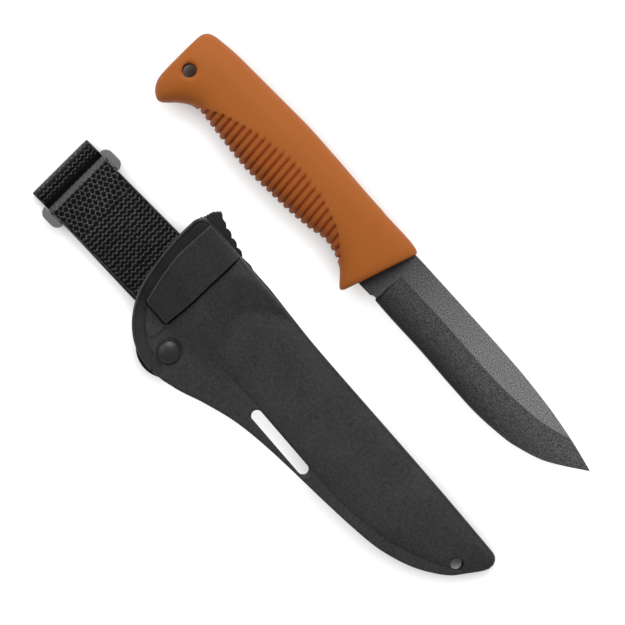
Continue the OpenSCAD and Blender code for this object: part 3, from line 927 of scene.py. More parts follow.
@dataclass
class SheathForm:
    """The shape that both halves of the sheath share.

    Attributes:
        flange: thickness of a half at its edges.
        wall: wall over the handle pocket, and blade_wall over the blade pocket.
        blade_room: half depth of the blade pocket.
        blade_powers: how square the blade pocket is inside and outside.
        blend: how widely a pocket runs out into the flange, and pocket_blend into the other pocket.
        rear_set: how far the rear half's mouth is set back.
        drain: place and radius of the drain hole.
        slot: place, length and width of the leg-strap slot.
    """

    flange: float = 2.4
    wall: float = 1.8
    blade_wall: float = 1.6
    blade_room: float = 2.7
    blade_powers: tuple[float, float] = (6.0, 3.2)
    blend: float = 1.6
    pocket_blend: float = 0.6
    mouth_mid: tuple[float, float] = (-142.7, 3.0)
    mouth_reach: tuple[float, float] = (32.4, 54.0)
    mouth_power: float = 2.25
    mouth_corner: float = 5.0
    rear_set: float = 1.9
    mouth_low: float = -37.6
    under: int = 34
    first_line: float = -136.0
    last_line: float = -0.7
    pocket_mid: Table = ((-176, -13.6), (-140, -16))
    pocket_reach: Table = ((-176, 15), (-140, 16.8))
    pocket_depth: Table = ((-176, 10.4), (-140, 9.2))
    apron: tuple[float, float] = (5.0, 18.0)
    shoulder: tuple[float, float] = (-129.4, -12.5)
    shoulder_bend: float = 0.05
    shoulder_span: float = 14.0
    shoulder_len: float = 27.0
    shoulder_power: float = 1.35
    blade_high: float = -0.6
    blade_end: float = -6.0
    edge_r: float = 0.9
    hole_round: float = 0.6
    least_wall: float = 0.7
    rivet_hole: float = 2.6
    tip_round: tuple[float, float] = (-14.0, 13.0)
    window: tuple[tuple[float, float], tuple[float, float]] = ((-166.5, -20.0), (-155.5, -4.0))
    drain: tuple[float, float, float] = (-10.3, -10.8, 2.5)
    slot: tuple[float, float, float, float] = (-89.2, -31.6, 31.7, 4.4)
    blade_low: Table = ((-140, -29), (-100, -26.8), (-64, -27.2), (-40, -24), (-20, -17), (-6, -8))
    spine_edge: Table = ((-136, 3.5), (-105, 2.4), (-40, 2.8), (-5, 2.5), (-3, 2.1), (-1.6, 1), (-0.7, -0.6))
    lower_edge: Table = ((-136, -49.9), (-128.8, -47.6), (-120, -43.9), (-105.7, -39.2), (-94, -37),
                         (-80, -35.3), (-64, -33.8), (-48, -32), (-36, -30.1), (-28, -27.7), (-20, -24.2),
                         (-12, -18.8), (-8, -15), (-4, -8.7), (-1.5, -4.6), (-0.7, -2.8))
    pocket_high: Table = ((-176, 2.7), (-136, 3), (-118, 1.6), (-6, 1.6), (-2, 0.4), (-0.7, -1.2))
    pocket_low: Table = ((-176, -37.6), (-140, -40), (-120, -31.5), (-100, -29), (-64, -29.4), (-40, -26.2),
                         (-20, -19.2), (-6, -10.4), (-1.5, -3.6), (-0.7, -2.2))

    def mouth_x(self, y: np.ndarray) -> np.ndarray:
        """Where the curved mouth stands at a height, with its spine corner rounded off."""
        past = np.maximum(0, y - (self.mouth_mid[1] - 0.1 - self.mouth_corner))
        corner = self.mouth_corner - np.sqrt(np.maximum(0, self.mouth_corner**2 - past**2))
        return corner + self.mouth_mid[0] - self.mouth_reach[0] * bow(
            (y - self.mouth_mid[1]) / self.mouth_reach[1], self.mouth_power)

    def columns(self, edge: float, high: float, low: float, bottom: float) -> np.ndarray:
        """Heights of the grid columns, closest together at the edges and where the pocket's sides rise."""
        upper = mix(edge, high, np.linspace(0, 1, 9)[:-1])
        over = mix(high, low, (1 - np.cos(np.linspace(0, math.pi, 104)[:-1])) / 2)
        under = mix(low, bottom, 1 - (1 - np.linspace(0, 1, self.under)) ** 1.4)
        return np.concatenate([upper, over, under])

    def line(self, x: float) -> np.ndarray:
        """Grid points on the line across the sheath at one place."""
        at = np.array([x])
        y = self.columns(*(float(f(t, at)[0]) for f, t in (
            (smooth_table, self.spine_edge), (table, self.pocket_high), (table, self.pocket_low),
            (smooth_table, self.lower_edge))))
        return np.column_stack([np.full(len(y), x), y])

    def mouth_line(self, set_back: float = 0.0) -> np.ndarray:
        """Grid points on the curved mouth, set back towards the tip by a distance."""
        mid, reach = self.mouth_mid[1], self.mouth_reach[1]
        y = self.columns(mid - 0.1, 2.7, self.mouth_low, mid - reach)
        turn = math.asin(((mid - self.mouth_low) / reach) ** (self.mouth_power / 2))
        a = mix(turn, math.pi / 2, np.linspace(0, 1, self.under))
        y[-self.under:] = mid - reach * np.sin(a) ** (2 / self.mouth_power)
        return np.column_stack([self.mouth_x(y) + set_back, y])

    def plan(self, set_back: float = 0.0) -> tuple[np.ndarray, int, int]:
        """Grid points of a shell in plan, with the number of rows and columns."""
        a, b = self.mouth_line(set_back), self.line(self.first_line)
        rows = [mix(a, b, s) for s in np.linspace(0, 1, 86)[:-1] ** 1.3]
        ends = 1 - (1 - np.linspace(0, 1, 150)) ** 1.15
        rows += [self.line(x) for x in mix(self.first_line, self.last_line, ends)]
        return np.vstack(rows), len(rows), len(a)

    def pocket_share(self, x: np.ndarray, y: np.ndarray) -> np.ndarray:
        """How much of the handle pocket's depth is present at a place."""
        off = np.minimum(self.shoulder_span, np.abs(y - self.shoulder[1]))
        end = self.shoulder[0] + self.shoulder_bend * off**2
        fall = np.clip((x - end + self.shoulder_len) / self.shoulder_len, 0, 1)
        return 1 - fall**self.shoulder_power

    def blade_bow(self, x: np.ndarray, y: np.ndarray, wall: float) -> np.ndarray:
        """Half depth of the blade pocket, grown by a wall and then less square."""
        low = smooth_table(self.blade_low, x)
        mid, reach = (self.blade_high + low) / 2, (self.blade_high - low) / 2
        power = self.blade_powers[int(wall > 0)]
        return (self.blade_room + wall) * bow((y - mid) / (reach + 1.3 * wall), power)

    def handle_bow(self, x: np.ndarray, y: np.ndarray, wall: float) -> np.ndarray:
        """Half depth of the handle pocket, grown by a wall."""
        off = y - table(self.pocket_mid, x)
        upper = bow(off / (table(self.pocket_reach, x) + 1.1 * wall), 5 + wall)
        side = np.where(off < 0, 1 - ease((-off - self.apron[0]) / (self.apron[1] + 2.2 * wall)), upper)
        return (table(self.pocket_depth, x) + wall) * self.pocket_share(x - 1.2 * wall, y) * side

    def inside(self, x: np.ndarray, y: np.ndarray) -> np.ndarray:
        """Height of a shell's inner surface above the parting plane."""
        blade = np.where(x < self.blade_end, self.blade_bow(x, y, 0), 0)
        return np.maximum(blade, self.handle_bow(x, y, 0))

    def outside(self, x: np.ndarray, y: np.ndarray) -> np.ndarray:
        """Height of a shell's outer surface above the parting plane."""
        tip = bow(np.maximum(0, (x - self.tip_round[0]) / self.tip_round[1]), 2.5)
        blade = tip * self.blade_bow(x, y, self.blade_wall)
        body = soft_max(blade, self.handle_bow(x, y, self.wall), self.pocket_blend)
        return soft_max(self.flange, body, self.blend)

    def window_outline(self, inset: float) -> np.ndarray:
        """Corners of the window that the tongue's pad works through, drawn in by an inset."""
        (x0, y0), (x1, y1) = self.window
        corners = [(x0, y0, 1, 1.5), (x1, y0, -1, 1.5), (x1, y1, -1, -1.5), (x0, y1, 1, -1.5)]
        return np.array([((x + i * inset) * STRETCH, y + j * inset) for x, y, i, j in corners])

    def to_edge(self, plan: np.ndarray, cols: int) -> np.ndarray:
        """Distance in plan from each grid point to the outline."""
        edges = np.vstack([plan[:cols], plan[cols - 1::cols], plan[-cols:][::-1], plan[::cols][::-1]])
        return path_distance(plan, edges[::2])

    def place(self, plan: np.ndarray, height: np.ndarray) -> np.ndarray:
        """Points of the sheath's frame over places in plan."""
        return np.column_stack([plan[:, 0] * STRETCH, plan[:, 1], height])

    def hole_rounding(self, plan: np.ndarray, radius: float) -> np.ndarray:
        """How far the surface drops towards the drain hole and the leg-strap slot."""
        x, y, r = self.drain
        drain = np.hypot(plan[:, 0] - x, plan[:, 1] - y) - r
        sx, sy, length, width = self.slot
        half = (length - width) / 2
        across = np.maximum(np.abs(plan[:, 0] - sx) - half, 0)
        slot = np.hypot(across, plan[:, 1] - sy) - width / 2
        return rounded_edge(np.maximum(np.minimum(drain, slot), 0), radius)

    def cut_holes(self, piece: bpy.types.Object) -> None:
        """Cuts the drain hole, the leg-strap slot and the rivet's hole."""
        x, y, r = self.drain
        sx, sy, length, width = self.slot
        for outline in (circle(x * STRETCH, y, r), slot_outline(sx * STRETCH, sy, length, width),
                        circle(RIVET[0] * STRETCH, RIVET[1], self.rivet_hole)):
            cut(piece, prism(outline, *THROUGH, SHEATH))


@dataclass
class FrontShell:
    """Front half of the sheath, with its rim, embossed tail and rivet seat."""

    form: SheathForm
    lip_width: float = 0.75
    band_width: Table = ((-36, 4.6), (-24, 5.4), (0, 8.5))
    band_depth: float = 0.6
    # Share of painted shade over the rim band, by height on the sheath.
    band_shade: Table = ((-46, 0.25), (-34, 0.8))
    groove: float = 0.8
    groove_depth: float = 1.3
    tail_height: float = 0.55
    tail_left: Table = ((-43.4, -155.0), (-41, -158.6), (-38, -161.2), (-34.9, -163.4))
    tail_corner: tuple[float, float, float] = (-153.9, -40.2, 3.1)
    seat_r: float = 5.0
    # The second colour is painted shade for the rim band, the groove and the strip above the tongue.
    finish: Moulded = field(default_factory=lambda: Moulded(
        "sheath plastic", (0.033, 0.033, 0.0334), Sheen.SATIN, grain_mm=1.1, grain_depth=0.4, tint=1.8,
        specular=0.25, painted_light=(0.0065, 0.0065, 0.0066)))

    def relief(self, plan: np.ndarray) -> tuple[np.ndarray, np.ndarray]:
        """Rim band and embossed tail.

        Args:
            plan: places in plan.

        Returns:
            The height to add, and the share of painted shade at each place.
        """
        mouth = path_distance(plan, self.form.mouth_line()[::2])
        width = table(self.band_width, plan[:, 1])
        band = ease((mouth - self.lip_width) / 0.35) * (1 - ease((mouth - width) / 0.5))
        add = -self.band_depth * band
        left = table(self.tail_left, plan[:, 1])
        x0, y0, r = self.tail_corner
        corner = np.where(plan[:, 1] < y0, np.hypot(np.maximum(plan[:, 0] - x0, 0), plan[:, 1] - y0) - r,
                          plan[:, 0] - (x0 + r))
        tail = (1 - ease((corner + 0.1) / 0.5)) * ease((plan[:, 0] - left) / 0.5) * (plan[:, 1] < -34)
        tongue = Tongue(self.form)
        beyond = plan[:, 0] - table(tongue.right, plan[:, 1])
        beside = (beyond > -0.6) * (plan[:, 1] > tongue.root - 0.3) * (plan[:, 1] < tongue.top)
        below = (np.abs(plan[:, 1] - tongue.root + 0.1) < 0.7) * (plan[:, 0] > left) * (beyond < 0)
        # The groove beside and below the tongue is sunk into the surface and also takes painted shade.
        gap = np.maximum(beside * (1 - ease((beyond - self.groove + 0.3) / 0.5)), 0.6 * below)
        add = add + self.tail_height * tail * (1 - band) - self.groove_depth * gap
        # Painted shade on the strip above the tongue's upper end and over the rim band.
        strip = ease((plan[:, 1] - tongue.top) / 0.4) * (beyond < 1.0)
        shade = table(self.band_shade, plan[:, 1]) * band
        return add, np.maximum(np.maximum(shade, 0.9 * strip), gap)

    def build(self) -> bpy.types.Object:
        """Builds the front half."""
        form = self.form
        plan, rows, cols = form.plan()
        x, y = plan[:, 0], plan[:, 1]
        add, painted_light = self.relief(plan)
        seat = np.hypot(x - RIVET[0], y - RIVET[1])
        top = form.outside(x, y) + add - rounded_edge(form.to_edge(plan, cols), form.edge_r)
        top = mix(top, np.minimum(top, form.flange + 0.2), 1 - ease((seat - self.seat_r) / 0.5))
        top = top - form.hole_rounding(plan, form.hole_round)
        inner = np.minimum(form.inside(x, y), top - form.least_wall)
        points = np.vstack([form.place(plan, top), form.place(plan, inner)])
        piece = to_mesh("front_half", points, slab_faces(rows, cols), SHEATH)
        store(piece, "painted_light", np.concatenate([painted_light, np.zeros(len(plan))]))
        outward(piece)
        form.cut_holes(piece)
        cut(piece, prism(form.window_outline(0.0), 4.0, 20.0, SHEATH))
        dress(piece, self.finish.build())
        install(piece, "sheath", "sheath_plastic", "front_shell")
        return piece


@dataclass
class RearShell:
    """Rear half of the sheath, with the thumb ramp and the rivet's boss."""

    form: SheathForm
    boss_r: float = 8.0
    boss_span: tuple[float, float] = (-13.0, -2.2)
    boss_hole: float = 2.56
    ramp_low: float = -5.6
    ramp_high: float = -0.4
    finish: Moulded = field(default_factory=lambda: Moulded(
        "sheath plastic back", (0.014, 0.014, 0.0142), Sheen.SATIN, grain_mm=0.8, grain_depth=0.4, tint=0.7,
        specular=0.22))

    def ramp_outline(self) -> np.ndarray:
        """Outline of the thumb ramp in plan: four ridges on its upper side, fine serrations on its left."""
        x = np.linspace(-144, -166.6, 110)
        rise = np.interp(-x, [144, 147, 152, 166.6], [3.0, 3.8, 3.2, 6.3])
        ridge = 1.05 * np.abs(np.sin(math.pi * (x + 151.6) / 4.05)) ** 0.8 * ((x < -151.6) & (x > -167.8))
        upper = np.column_stack([x, rise + ridge])
        y = np.linspace(8.0, -1.0, 46)
        left = np.column_stack([np.interp(y, [-1, 2, 6, 8], [-172.9, -172.6, -171.8, -170.3]), y])
        left[:, 0] += 0.32 * np.abs(np.sin(math.pi * y / 1.25))
        crown = np.array([(-167.6, 7.4), (-168.8, 8.3), (-169.8, 8.6)])
        return np.vstack([np.array([(-144, -2.5)]), upper, crown, left, np.array([(-172.4, -2.5)])])

    def add_ramp(self) -> bpy.types.Object:
        """Builds the thumb ramp with softened edges, as its own moulding joined to the rear half."""
        outline = self.ramp_outline() * np.array([STRETCH, 1.0])
        ramp = prism(outline, self.ramp_low, self.ramp_high, SHEATH)
        ramp.name = "thumb_ramp"
        soften(ramp, 0.35, 3, 50)
        under_shell = np.array([(-185, -30), (-140, -30), (-140, 1.2), (-185, 1.2)])
        cut(ramp, prism(under_shell, -9, 2, SHEATH))
        return ramp

    def add_boss(self) -> bpy.types.Object:
        """Builds the round boss that carries the rivet to the hanger."""
        low, high = self.boss_span
        ring = circle(RIVET[0] * STRETCH, RIVET[1], self.boss_r, 64)
        boss = prism(ring, low, high, SHEATH)
        boss.name = "rivet_boss"
        cut(boss, prism(circle(RIVET[0] * STRETCH, RIVET[1], self.boss_hole), low - 2, high + 2, SHEATH))
        return boss

    def build(self) -> list[bpy.types.Object]:
        """Builds the rear half, its ramp and its boss."""
        form = self.form
        plan, rows, cols = form.plan(form.rear_set)
        x, y = plan[:, 0], plan[:, 1]
        low = -(form.outside(x, y) - rounded_edge(form.to_edge(plan, cols), form.edge_r))
        low = low + form.hole_rounding(plan, form.hole_round)
        inner = np.maximum(-form.inside(x, y), low + form.least_wall)
        points = np.vstack([form.place(plan, inner), form.place(plan, low)])
        shell = to_mesh("rear_half", points, slab_faces(rows, cols), SHEATH)
        outward(shell)
        form.cut_holes(shell)
        material = self.finish.build()
        pieces = [shell, self.add_ramp(), self.add_boss()]
        for piece in pieces:
            dress(piece, material)
        install(shell, "sheath", "sheath_plastic", "rear_shell")
        for piece in pieces[1:]:
            install(piece, "sheath", "sheath_plastic")
        return pieces


@dataclass
class Tongue:
    """The sprung tongue across the pocket's front."""

    form: SheathForm
    gap: float = 0.45
    thick: float = 2.0
    edge_r: float = 0.4
    rim_highlight: float = 0.8
    pad_span: tuple[float, float] = (10.0, 13.0)
    top: float = 2.2
    root: float = -34.9
    left: Table = ((-34.9, -163.2), (-28.7, -165.6), (-21.8, -167.9), (-12.5, -169.7), (2.2, -169.9))
    right: Table = ((-34.9, -152), (2.2, -153.7))
    # The tongue's second colour is paler: a painted highlight on its rim.
    finish: Moulded = field(default_factory=lambda: Moulded(
        "tongue plastic", (0.021, 0.021, 0.0213), Sheen.SATIN, grain_mm=1.1, grain_depth=0.4, tint=1.8,
        specular=0.25, painted_light=(0.06, 0.06, 0.061)))

    def build(self) -> bpy.types.Object:
        """Builds the tongue with rounded edges."""
        v = mix(self.root, self.top, (1 - np.cos(np.linspace(0, math.pi, 70))) / 2)
        share = (1 - np.cos(np.linspace(0, math.pi, 34))) / 2
        lx, rx = smooth_table(self.left, v), table(self.right, v)
        x = mix(lx[:, None], rx[:, None], share[None, :])
        y = np.repeat(v[:, None], len(share), axis=1)
        plan = np.column_stack([x.reshape(-1), y.reshape(-1)])
        base = self.form.outside(plan[:, 0], plan[:, 1]) + self.gap
        side = np.minimum(x - lx[:, None], rx[:, None] - x)
        ends = np.minimum(y - self.root, self.top - y)
        edge = np.minimum(side, ends).reshape(-1)
        upper = base + self.thick - rounded_edge(edge, self.edge_r)
        points = np.vstack([self.form.place(plan, upper), self.form.place(plan, base)])
        piece = to_mesh("tongue_leaf", points, slab_faces(len(v), len(share)), SHEATH)
        # Painted highlight along the tongue's rounded rim, in its paler second colour.
        painted_rim_highlight = self.rim_highlight * (1 - ease(edge / 0.5))
        store(piece, "painted_light", np.concatenate([painted_rim_highlight, np.zeros(len(base))]))
        outward(piece)
        pad = prism(self.form.window_outline(1.0), *self.pad_span, SHEATH)
        pad.name = "tongue_pad"
        material = self.finish.build()
        dress(piece, material)
        dress(pad, material)
        install(piece, "tongue", "tongue_plastic", "retention_tongue")
        install(pad, "tongue", "tongue_plastic")
        return piece


@dataclass
class Rivet:
    """The rivet's domed cap; its post and washer stay as the CAD has them."""

    radius: float = 4.6
    seat: float = 2.6
    dome: float = 2.1
    shank_r: float = 1.7
    shank_length: float = 8.5
    cap: Metal = field(default_factory=lambda: Metal("rivet black", (0.014, 0.014, 0.0143), 0.0, 0.4))
    plated: Metal = field(default_factory=lambda: Metal("rivet plated", (0.46, 0.46, 0.47), 1.0, 0.32))

    def profile(self) -> list[tuple[float, float]]:
        """Profile of the cap from the top of its dome to the foot of its shank."""
        rise = [(self.radius * math.sin(t), self.seat + 0.55 + self.dome * math.cos(t))
                for t in np.linspace(0, math.pi / 2, 14)]
        return rise + [(self.radius - 0.05, self.seat + 0.25), (self.radius - 0.3, self.seat + 0.02),
                       (self.shank_r, self.seat + 0.02), (self.shank_r, self.seat - self.shank_length),
                       (0.0, self.seat - self.shank_length)]

    def build(self) -> None:
        """Builds the cap and dresses the post and the washer."""
        mesh = bpy.data.meshes.new("rivet_dome")
        points = [(r * MM, 0, z * MM) for r, z in self.profile()]
        mesh.from_pydata(points, [(i, i + 1) for i in range(len(points) - 1)], [])
        piece = bpy.data.objects.new("rivet_dome", mesh)
        bpy.context.scene.collection.objects.link(piece)
        screw = piece.modifiers.new("turn", "SCREW")
        screw.steps = screw.render_steps = 72
        screw.use_merge_vertices = True
        screw.merge_threshold = 0.00002
        screw.use_smooth_shade = True
        apply_stack(piece)
        rows = [list(r) for r in SHEATH.axes]
        centre = SHEATH.carry(np.array([[RIVET[0] * STRETCH, RIVET[1], 0.0]]))[0] * MM
        piece.data.transform(Matrix.Translation(Vector(centre)) @ Matrix(rows).to_4x4())
        outward(piece)
        dress(piece, self.cap.build())
        install(piece, "sheath", "rivet_black", "rivet_cap")
        plated = self.plated.build()
        for node in ("rivet_post", "rivet_washer"):
            dress_node(node, plated)


def dress_node(node: str, material: bpy.types.Material) -> None:
    """Gives a CAD node's own object a better material."""
    piece = frame["nodes"][node]
    if piece.material_slots:
        for slot in piece.material_slots:
            slot.material = material
    else:
        piece.data.materials.append(material)


# ---------------------------------------------------------------- belt loop and slider


@dataclass
class BeltLoop:
    """The webbing: one strip round the hanger's bar, through the slider and back.

    Attributes:
        upper_run: places from the slider to the bar, with heights above the slider's upper side.
        lower_run: places from the bar to the far fold, with heights above the table.
        fold: x, height and radius of the far fold.
        end_run: places from the fold back to the strip's end.
        lower_shift: how far the lower layer lies to one side.
        painted_shadow_at: where the painted shadow on the strip is darkest, in x.
    """

    width: float = 29.2
    thick: float = 1.2
    bar_r: float = 1.3
    clear: float = 0.25
    slider_mid: float = 50.0
    outer_bar: float = 1.2
    rail_r: float = 0.8
    rail_z: float = 5.1
    step: float = 0.4
    across: int = 40
    upper_run: Table = ((48, -0.1), (43, 0), (22, 0.7), (10, 1.15))
    lower_run: Table = ((9, 2.3), (18, 0.98), (26, 0.75), (40, 0.72), (57.2, 0.72))
    fold: tuple[float, float, float] = (59.9, 2.3, 1.58)
    end_run: Table = ((58.4, 3.1), (57.4, 2.3), (55.2, 2.08), (44, 2.08))
    painted_shadow_at: float = 54.6
    lower_shift: float = 1.1
    open_from: float = 36.0
    finish: Webbing = field(default_factory=lambda: Webbing("webbing"))

    def path(self) -> np.ndarray:
        """Centre line of the strip in the strap's own x and z, closely spaced."""
        wrap = self.bar_r + self.clear + self.thick / 2
        turn = self.rail_r + 0.2 + self.thick / 2
        outer = self.slider_mid + self.outer_bar
        over = self.rail_z + turn

        def arc(cx: float, cz: float, r: float, a0: float, a1: float) -> list[tuple[float, float]]:
            """Points along an arc, in degrees."""
            return [(cx + r * math.cos(math.radians(a)), cz + r * math.sin(math.radians(a)))
                    for a in np.linspace(a0, a1, 13)]

        points = [(40, self.rail_z - turn)] + arc(outer, self.rail_z, turn, -90, 90)
        points += [(x, over + rise) for x, rise in self.upper_run]
        points += arc(0, self.bar_height(), wrap, 90, 270)
        points += [*self.lower_run, *arc(*self.fold, -90, 90), *self.end_run]
        line = np.array(points)
        for _ in range(2):
            line = self.rounded(line)
        run = np.concatenate([[0], np.cumsum(np.linalg.norm(np.diff(line, axis=0), axis=1))])
        even = np.arange(0, run[-1], self.step)
        return np.column_stack([np.interp(even, run, line[:, 0]), np.interp(even, run, line[:, 1])])

    @staticmethod
    def rounded(line: np.ndarray) -> np.ndarray:
        """A line with each corner cut, its ends kept."""
        a, b = line[:-1], line[1:]
        cuts = np.stack([0.75 * a + 0.25 * b, 0.25 * a + 0.75 * b], axis=1).reshape(-1, 2)
        return np.vstack([line[:1], cuts, line[-1:]])

    @staticmethod
    def bar_height() -> float:
        """Height of the hanger's bar above the table."""
        return float(SHEATH.carry(np.array([[BAR[0] * STRETCH, BAR[1], BAR_Z]]))[0, 2])

    def build(self) -> bpy.types.Object:
        """Builds the strip; its weave is drawn from the places that it stores."""
        line = self.path()
        tangent = np.gradient(line, axis=0)
        tangent /= np.linalg.norm(tangent, axis=1)[:, None]
        normal = np.column_stack([tangent[:, 1], -tangent[:, 0]])
        run = np.arange(len(line)) * self.step
        w = self.width / 2 * np.sin(np.linspace(-math.pi / 2, math.pi / 2, self.across))
        thin = rounded_edge(self.width / 2 - np.abs(w), 0.45)
        turn_at = int(np.argmin(line[:, 0]))
        lower = (np.arange(len(line)) > turn_at) * (1 - ease(line[:, 0] / 52))
        shift = self.lower_shift * lower * ease((np.arange(len(line)) - turn_at) * self.step / 8)
        grids = []
        for side in (1, -1):
            lift = side * (self.thick / 2 - thin)[None, :]
            x = line[:, 0, None] + normal[:, 0, None] * lift
            z = line[:, 1, None] + normal[:, 1, None] * lift
            y = w[None, :] + shift[:, None] + 0 * x
            grids.append(np.stack([x, y, z], axis=-1).reshape(-1, 3))
        piece = to_mesh("webbing_strip", np.vstack(grids), slab_faces(len(line), self.across), STRAP)
        places = np.broadcast_to(run[:, None], (len(line), self.across))
        store(piece, "run", np.tile(places.reshape(-1), 2))
        store(piece, "across", np.tile(np.tile(w, len(line)), 2))
        on_top = (np.arange(len(line)) < turn_at) * ease((line[:, 0] - self.open_from) / 1.5)
        store(piece, "open", np.tile(np.repeat(on_top, self.across), 2))
        # Painted highlight on the folds.
        store(piece, "painted_fold_highlight", np.tile(np.repeat(self.painted_fold_highlight(line), self.across), 2))
        # Painted shadow on the lower layer between the slider's fold and the far loop.
        dip = 1 - ease((np.abs(line[:, 0] - self.painted_shadow_at) - 1.0) / 1.1)
        dip = dip * (np.arange(len(line)) > turn_at)
        store(piece, "painted_shadow", np.tile(np.repeat(0.95 * dip, self.across), 2))
        outward(piece)
        dress(piece, self.finish.build())
        install(piece, "hanger", "webbing", "belt_loop")
        return piece

    def painted_fold_highlight(self, line: np.ndarray) -> np.ndarray:
        """Share of painted highlight on the strip's turn round the slider and on its far fold."""
        turn_x = self.slider_mid + self.outer_bar + 0.7
        near = np.hypot(line[:, 0] - turn_x, line[:, 1] - self.rail_z - 1.4)
        far = np.hypot(line[:, 0] - 61.0, line[:, 1] - 3.2)
        return np.maximum(0.5 * (1 - ease((near - 0.7) / 0.6)), 0.25 * (1 - ease((far - 0.3) / 1.2)))


@dataclass
class Slider:
    """The slider: rounded end tabs beside the webbing, joined by two bars."""

    mid: float = 50.0
    length: float = 10.0
    width: float = 36.1
    tab: float = 3.3
    height: float = 2.6
    rail_z: float = 5.1
    rail_r: float = 0.8
    bars: tuple[float, float] = (1.2, -3.7)
    corner: float = 3.1
    finish: Moulded = field(default_factory=lambda: Moulded(
        "slider plastic", (0.145, 0.145, 0.147), Sheen.GLOSS, grain_mm=0.4, grain_depth=0.08, tint=0.2,
        specular=0.5))

    def tab_outline(self, side: int) -> np.ndarray:
        """Outline of one end tab in plan, with its outer corners rounded."""
        inner, outer, half = self.width / 2 - self.tab, self.width / 2, self.length / 2
        a = np.linspace(0, math.pi / 2, 9)
        right = np.column_stack([half - self.corner + self.corner * np.cos(a),
                                 outer - self.tab + self.tab * np.sin(a)])
        left = right[::-1] * np.array([-1, 1])
        loop = np.vstack([[(-half + 0.4, inner)], [(half - 0.4, inner)], right, left])
        loop[:, 0] += self.mid
        return loop * np.array([1, side])

    def build(self) -> list[bpy.types.Object]:
        """Builds both tabs and both bars; together they are the slider's one moulding."""
        low, high = self.rail_z - self.height / 2, self.rail_z + self.height / 2
        parts = []
        for side in (1, -1):
            tab = prism(self.tab_outline(side), low, high, STRAP)
            soften(tab, 1.25, 6, 40)
            parts.append(tab)
        reach = self.width / 2 - self.tab + 0.6
        for x in self.bars:
            a = np.linspace(0, 2 * math.pi, 20, endpoint=False)
            rings = [np.column_stack([self.mid + x + self.rail_r * np.cos(a), np.full(20, y),
                                      self.rail_z + self.rail_r * np.sin(a)]) for y in (-reach, reach)]
            bar = to_mesh("bar", np.vstack(rings), ring_faces(2, 20), STRAP)
            outward(bar)
            parts.append(bar)
        material = self.finish.build()
        names = ("slider_tab_near", "slider_tab_far", "slider_bar_out", "slider_bar_in")
        for piece, name in zip(parts, names):
            piece.name = name
            dress(piece, material)
        install(parts[0], "slider", "slider_plastic", "slider")
        for piece in parts[1:]:
            install(piece, "slider", "slider_plastic")
        return parts


# ---------------------------------------------------------------- studio


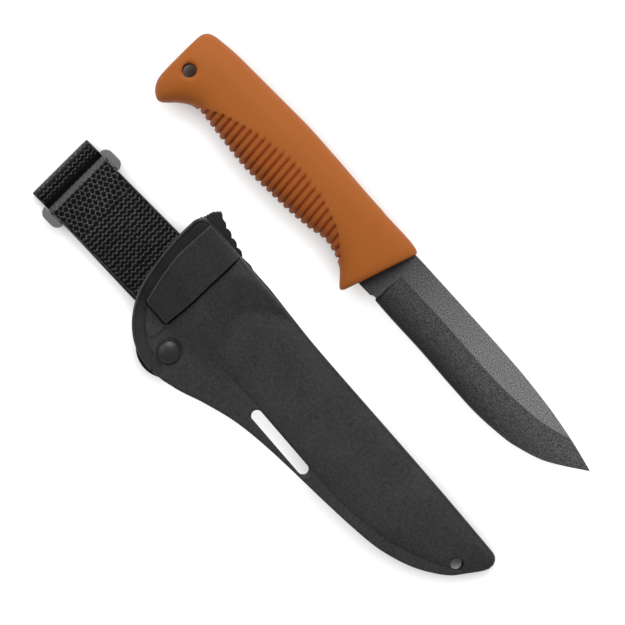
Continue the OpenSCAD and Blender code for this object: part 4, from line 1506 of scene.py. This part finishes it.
@dataclass
class Studio:
    """Plain pale floor, soft light and the camera straight above.

    Attributes:
        look_at: the place under the middle of the view.
        turn: how far the camera is turned about its own axis.
        frame_width: width of the view on the table.
        height: the camera's height.
        floor_base: the floor's own colour.
        floor_glow: how strongly the open floor glows.
        shade_reach: how far from the object its floor shade reaches.
        open_range: the open shares between which the glow rises.
        surround: strength of the pale surround.
        lights: name, place right, up and high in the view, size in m and power in W of each light.
    """

    look_at: tuple[float, float] = (-0.0048, 0.00845)
    turn: float = math.radians(49.34)
    frame_width: float = 0.23875
    height: float = 2.4
    floor_size: float = 4.0
    floor_low: float = -0.0002
    floor_base: float = 0.42
    floor_glow: float = 0.85
    shade_reach: float = 0.014
    open_range: tuple[float, float] = (0.1, 0.8)
    surround: float = 0.38
    sensor: float = 36.0
    lights: tuple[tuple[str, float, float, float, float, float], ...] = (
        ("key", 0.2, 0.95, 1.05, 0.9, 15.0), ("side", -0.9, 0.35, 1.2, 0.8, 4.0))

    def build_floor(self) -> None:
        """Lays the floor just under the object."""
        half = self.floor_size / 2
        corners = [(-half, -half, 0), (half, -half, 0), (half, half, 0), (-half, half, 0)]
        mesh = bpy.data.meshes.new("floor")
        mesh.from_pydata(corners, [], [(0, 1, 2, 3)])
        floor = bpy.data.objects.new("floor", mesh)
        floor.location.z = self.floor_low
        bpy.context.scene.collection.objects.link(floor)
        n = Nodes("floor white")
        base = self.floor_base
        n.set(Base_Color=(base, base, base, 1), Roughness=0.9, Specular_IOR_Level=0.1,
              Emission_Color=(1, 1, 1, 1))
        # The floor glows by its own emission, which ambient occlusion dims near the object and under its holes:
        # painted contact shade.
        open_sky = n.node("ShaderNodeAmbientOcclusion", samples=32)
        ramp = n.node("ShaderNodeMapRange")
        for label, value in zip(("From Min", "From Max", "To Max"), (*self.open_range, self.floor_glow)):
            ramp.inputs[label].default_value = value
        open_sky.inputs["Distance"].default_value = self.shade_reach
        n.link(open_sky.outputs["AO"], ramp.inputs["Value"])
        n.link(ramp.outputs["Result"], n.shader.inputs["Emission Strength"])
        dress(floor, n.material)

    def build_lights(self) -> None:
        """Sets a pale surround, a large soft light above the view and a weaker one to its left."""
        world = bpy.data.worlds.new("studio")
        world.use_nodes = True
        background = world.node_tree.nodes["Background"]
        background.inputs["Color"].default_value = (1, 1, 1, 1)
        background.inputs["Strength"].default_value = self.surround
        bpy.context.scene.world = world
        c, s = math.cos(self.turn), math.sin(self.turn)
        for name, right, up, high, size, power in self.lights:
            light = bpy.data.lights.new(name, "AREA")
            light.energy = power
            light.size = size
            lamp = bpy.data.objects.new(name, light)
            lamp.location = (right * c - up * s, right * s + up * c, high)
            aim = Vector((self.look_at[0], self.look_at[1], 0)) - lamp.location
            lamp.rotation_mode = "QUATERNION"
            lamp.rotation_quaternion = aim.to_track_quat("-Z", "Y")
            bpy.context.scene.collection.objects.link(lamp)

    def build_camera(self) -> None:
        """Hangs the camera over the object, turned as the view is."""
        camera = bpy.data.cameras.new("camera")
        camera.sensor_width = self.sensor
        camera.lens = self.sensor * self.height / self.frame_width
        camera.clip_start, camera.clip_end = 0.05, 20
        eye = bpy.data.objects.new("camera", camera)
        eye.location = (*self.look_at, self.height)
        eye.rotation_euler = (0, 0, self.turn)
        bpy.context.scene.collection.objects.link(eye)
        bpy.context.scene.camera = eye

    def build(self) -> None:
        """Builds the whole studio."""
        self.build_floor()
        self.build_lights()
        self.build_camera()
        bpy.context.scene.view_settings.view_transform = "Standard"


def main() -> None:
    """Builds every sub-assembly in order."""
    Studio().build()
    form = SheathForm()
    builders: Sequence[tuple[str, Callable[[], object]]] = (
        ("blade", Blade().build), ("grip", Grip().build), ("front shell", FrontShell(form).build),
        ("rear shell", RearShell(form).build), ("tongue", Tongue(form).build), ("rivet", Rivet().build),
        ("belt loop", BeltLoop().build), ("slider", Slider().build))
    for label, build in builders:
        LOG.info("building the %s", label)
        build()
    hanger = Moulded("hanger plastic", (0.014, 0.014, 0.0145), Sheen.DULL, grain_mm=0.4, grain_depth=0.3,
                     tint=0.4)
    dress_node("hanger_plate", hanger.build())


if __name__ == "__main__":
    main()
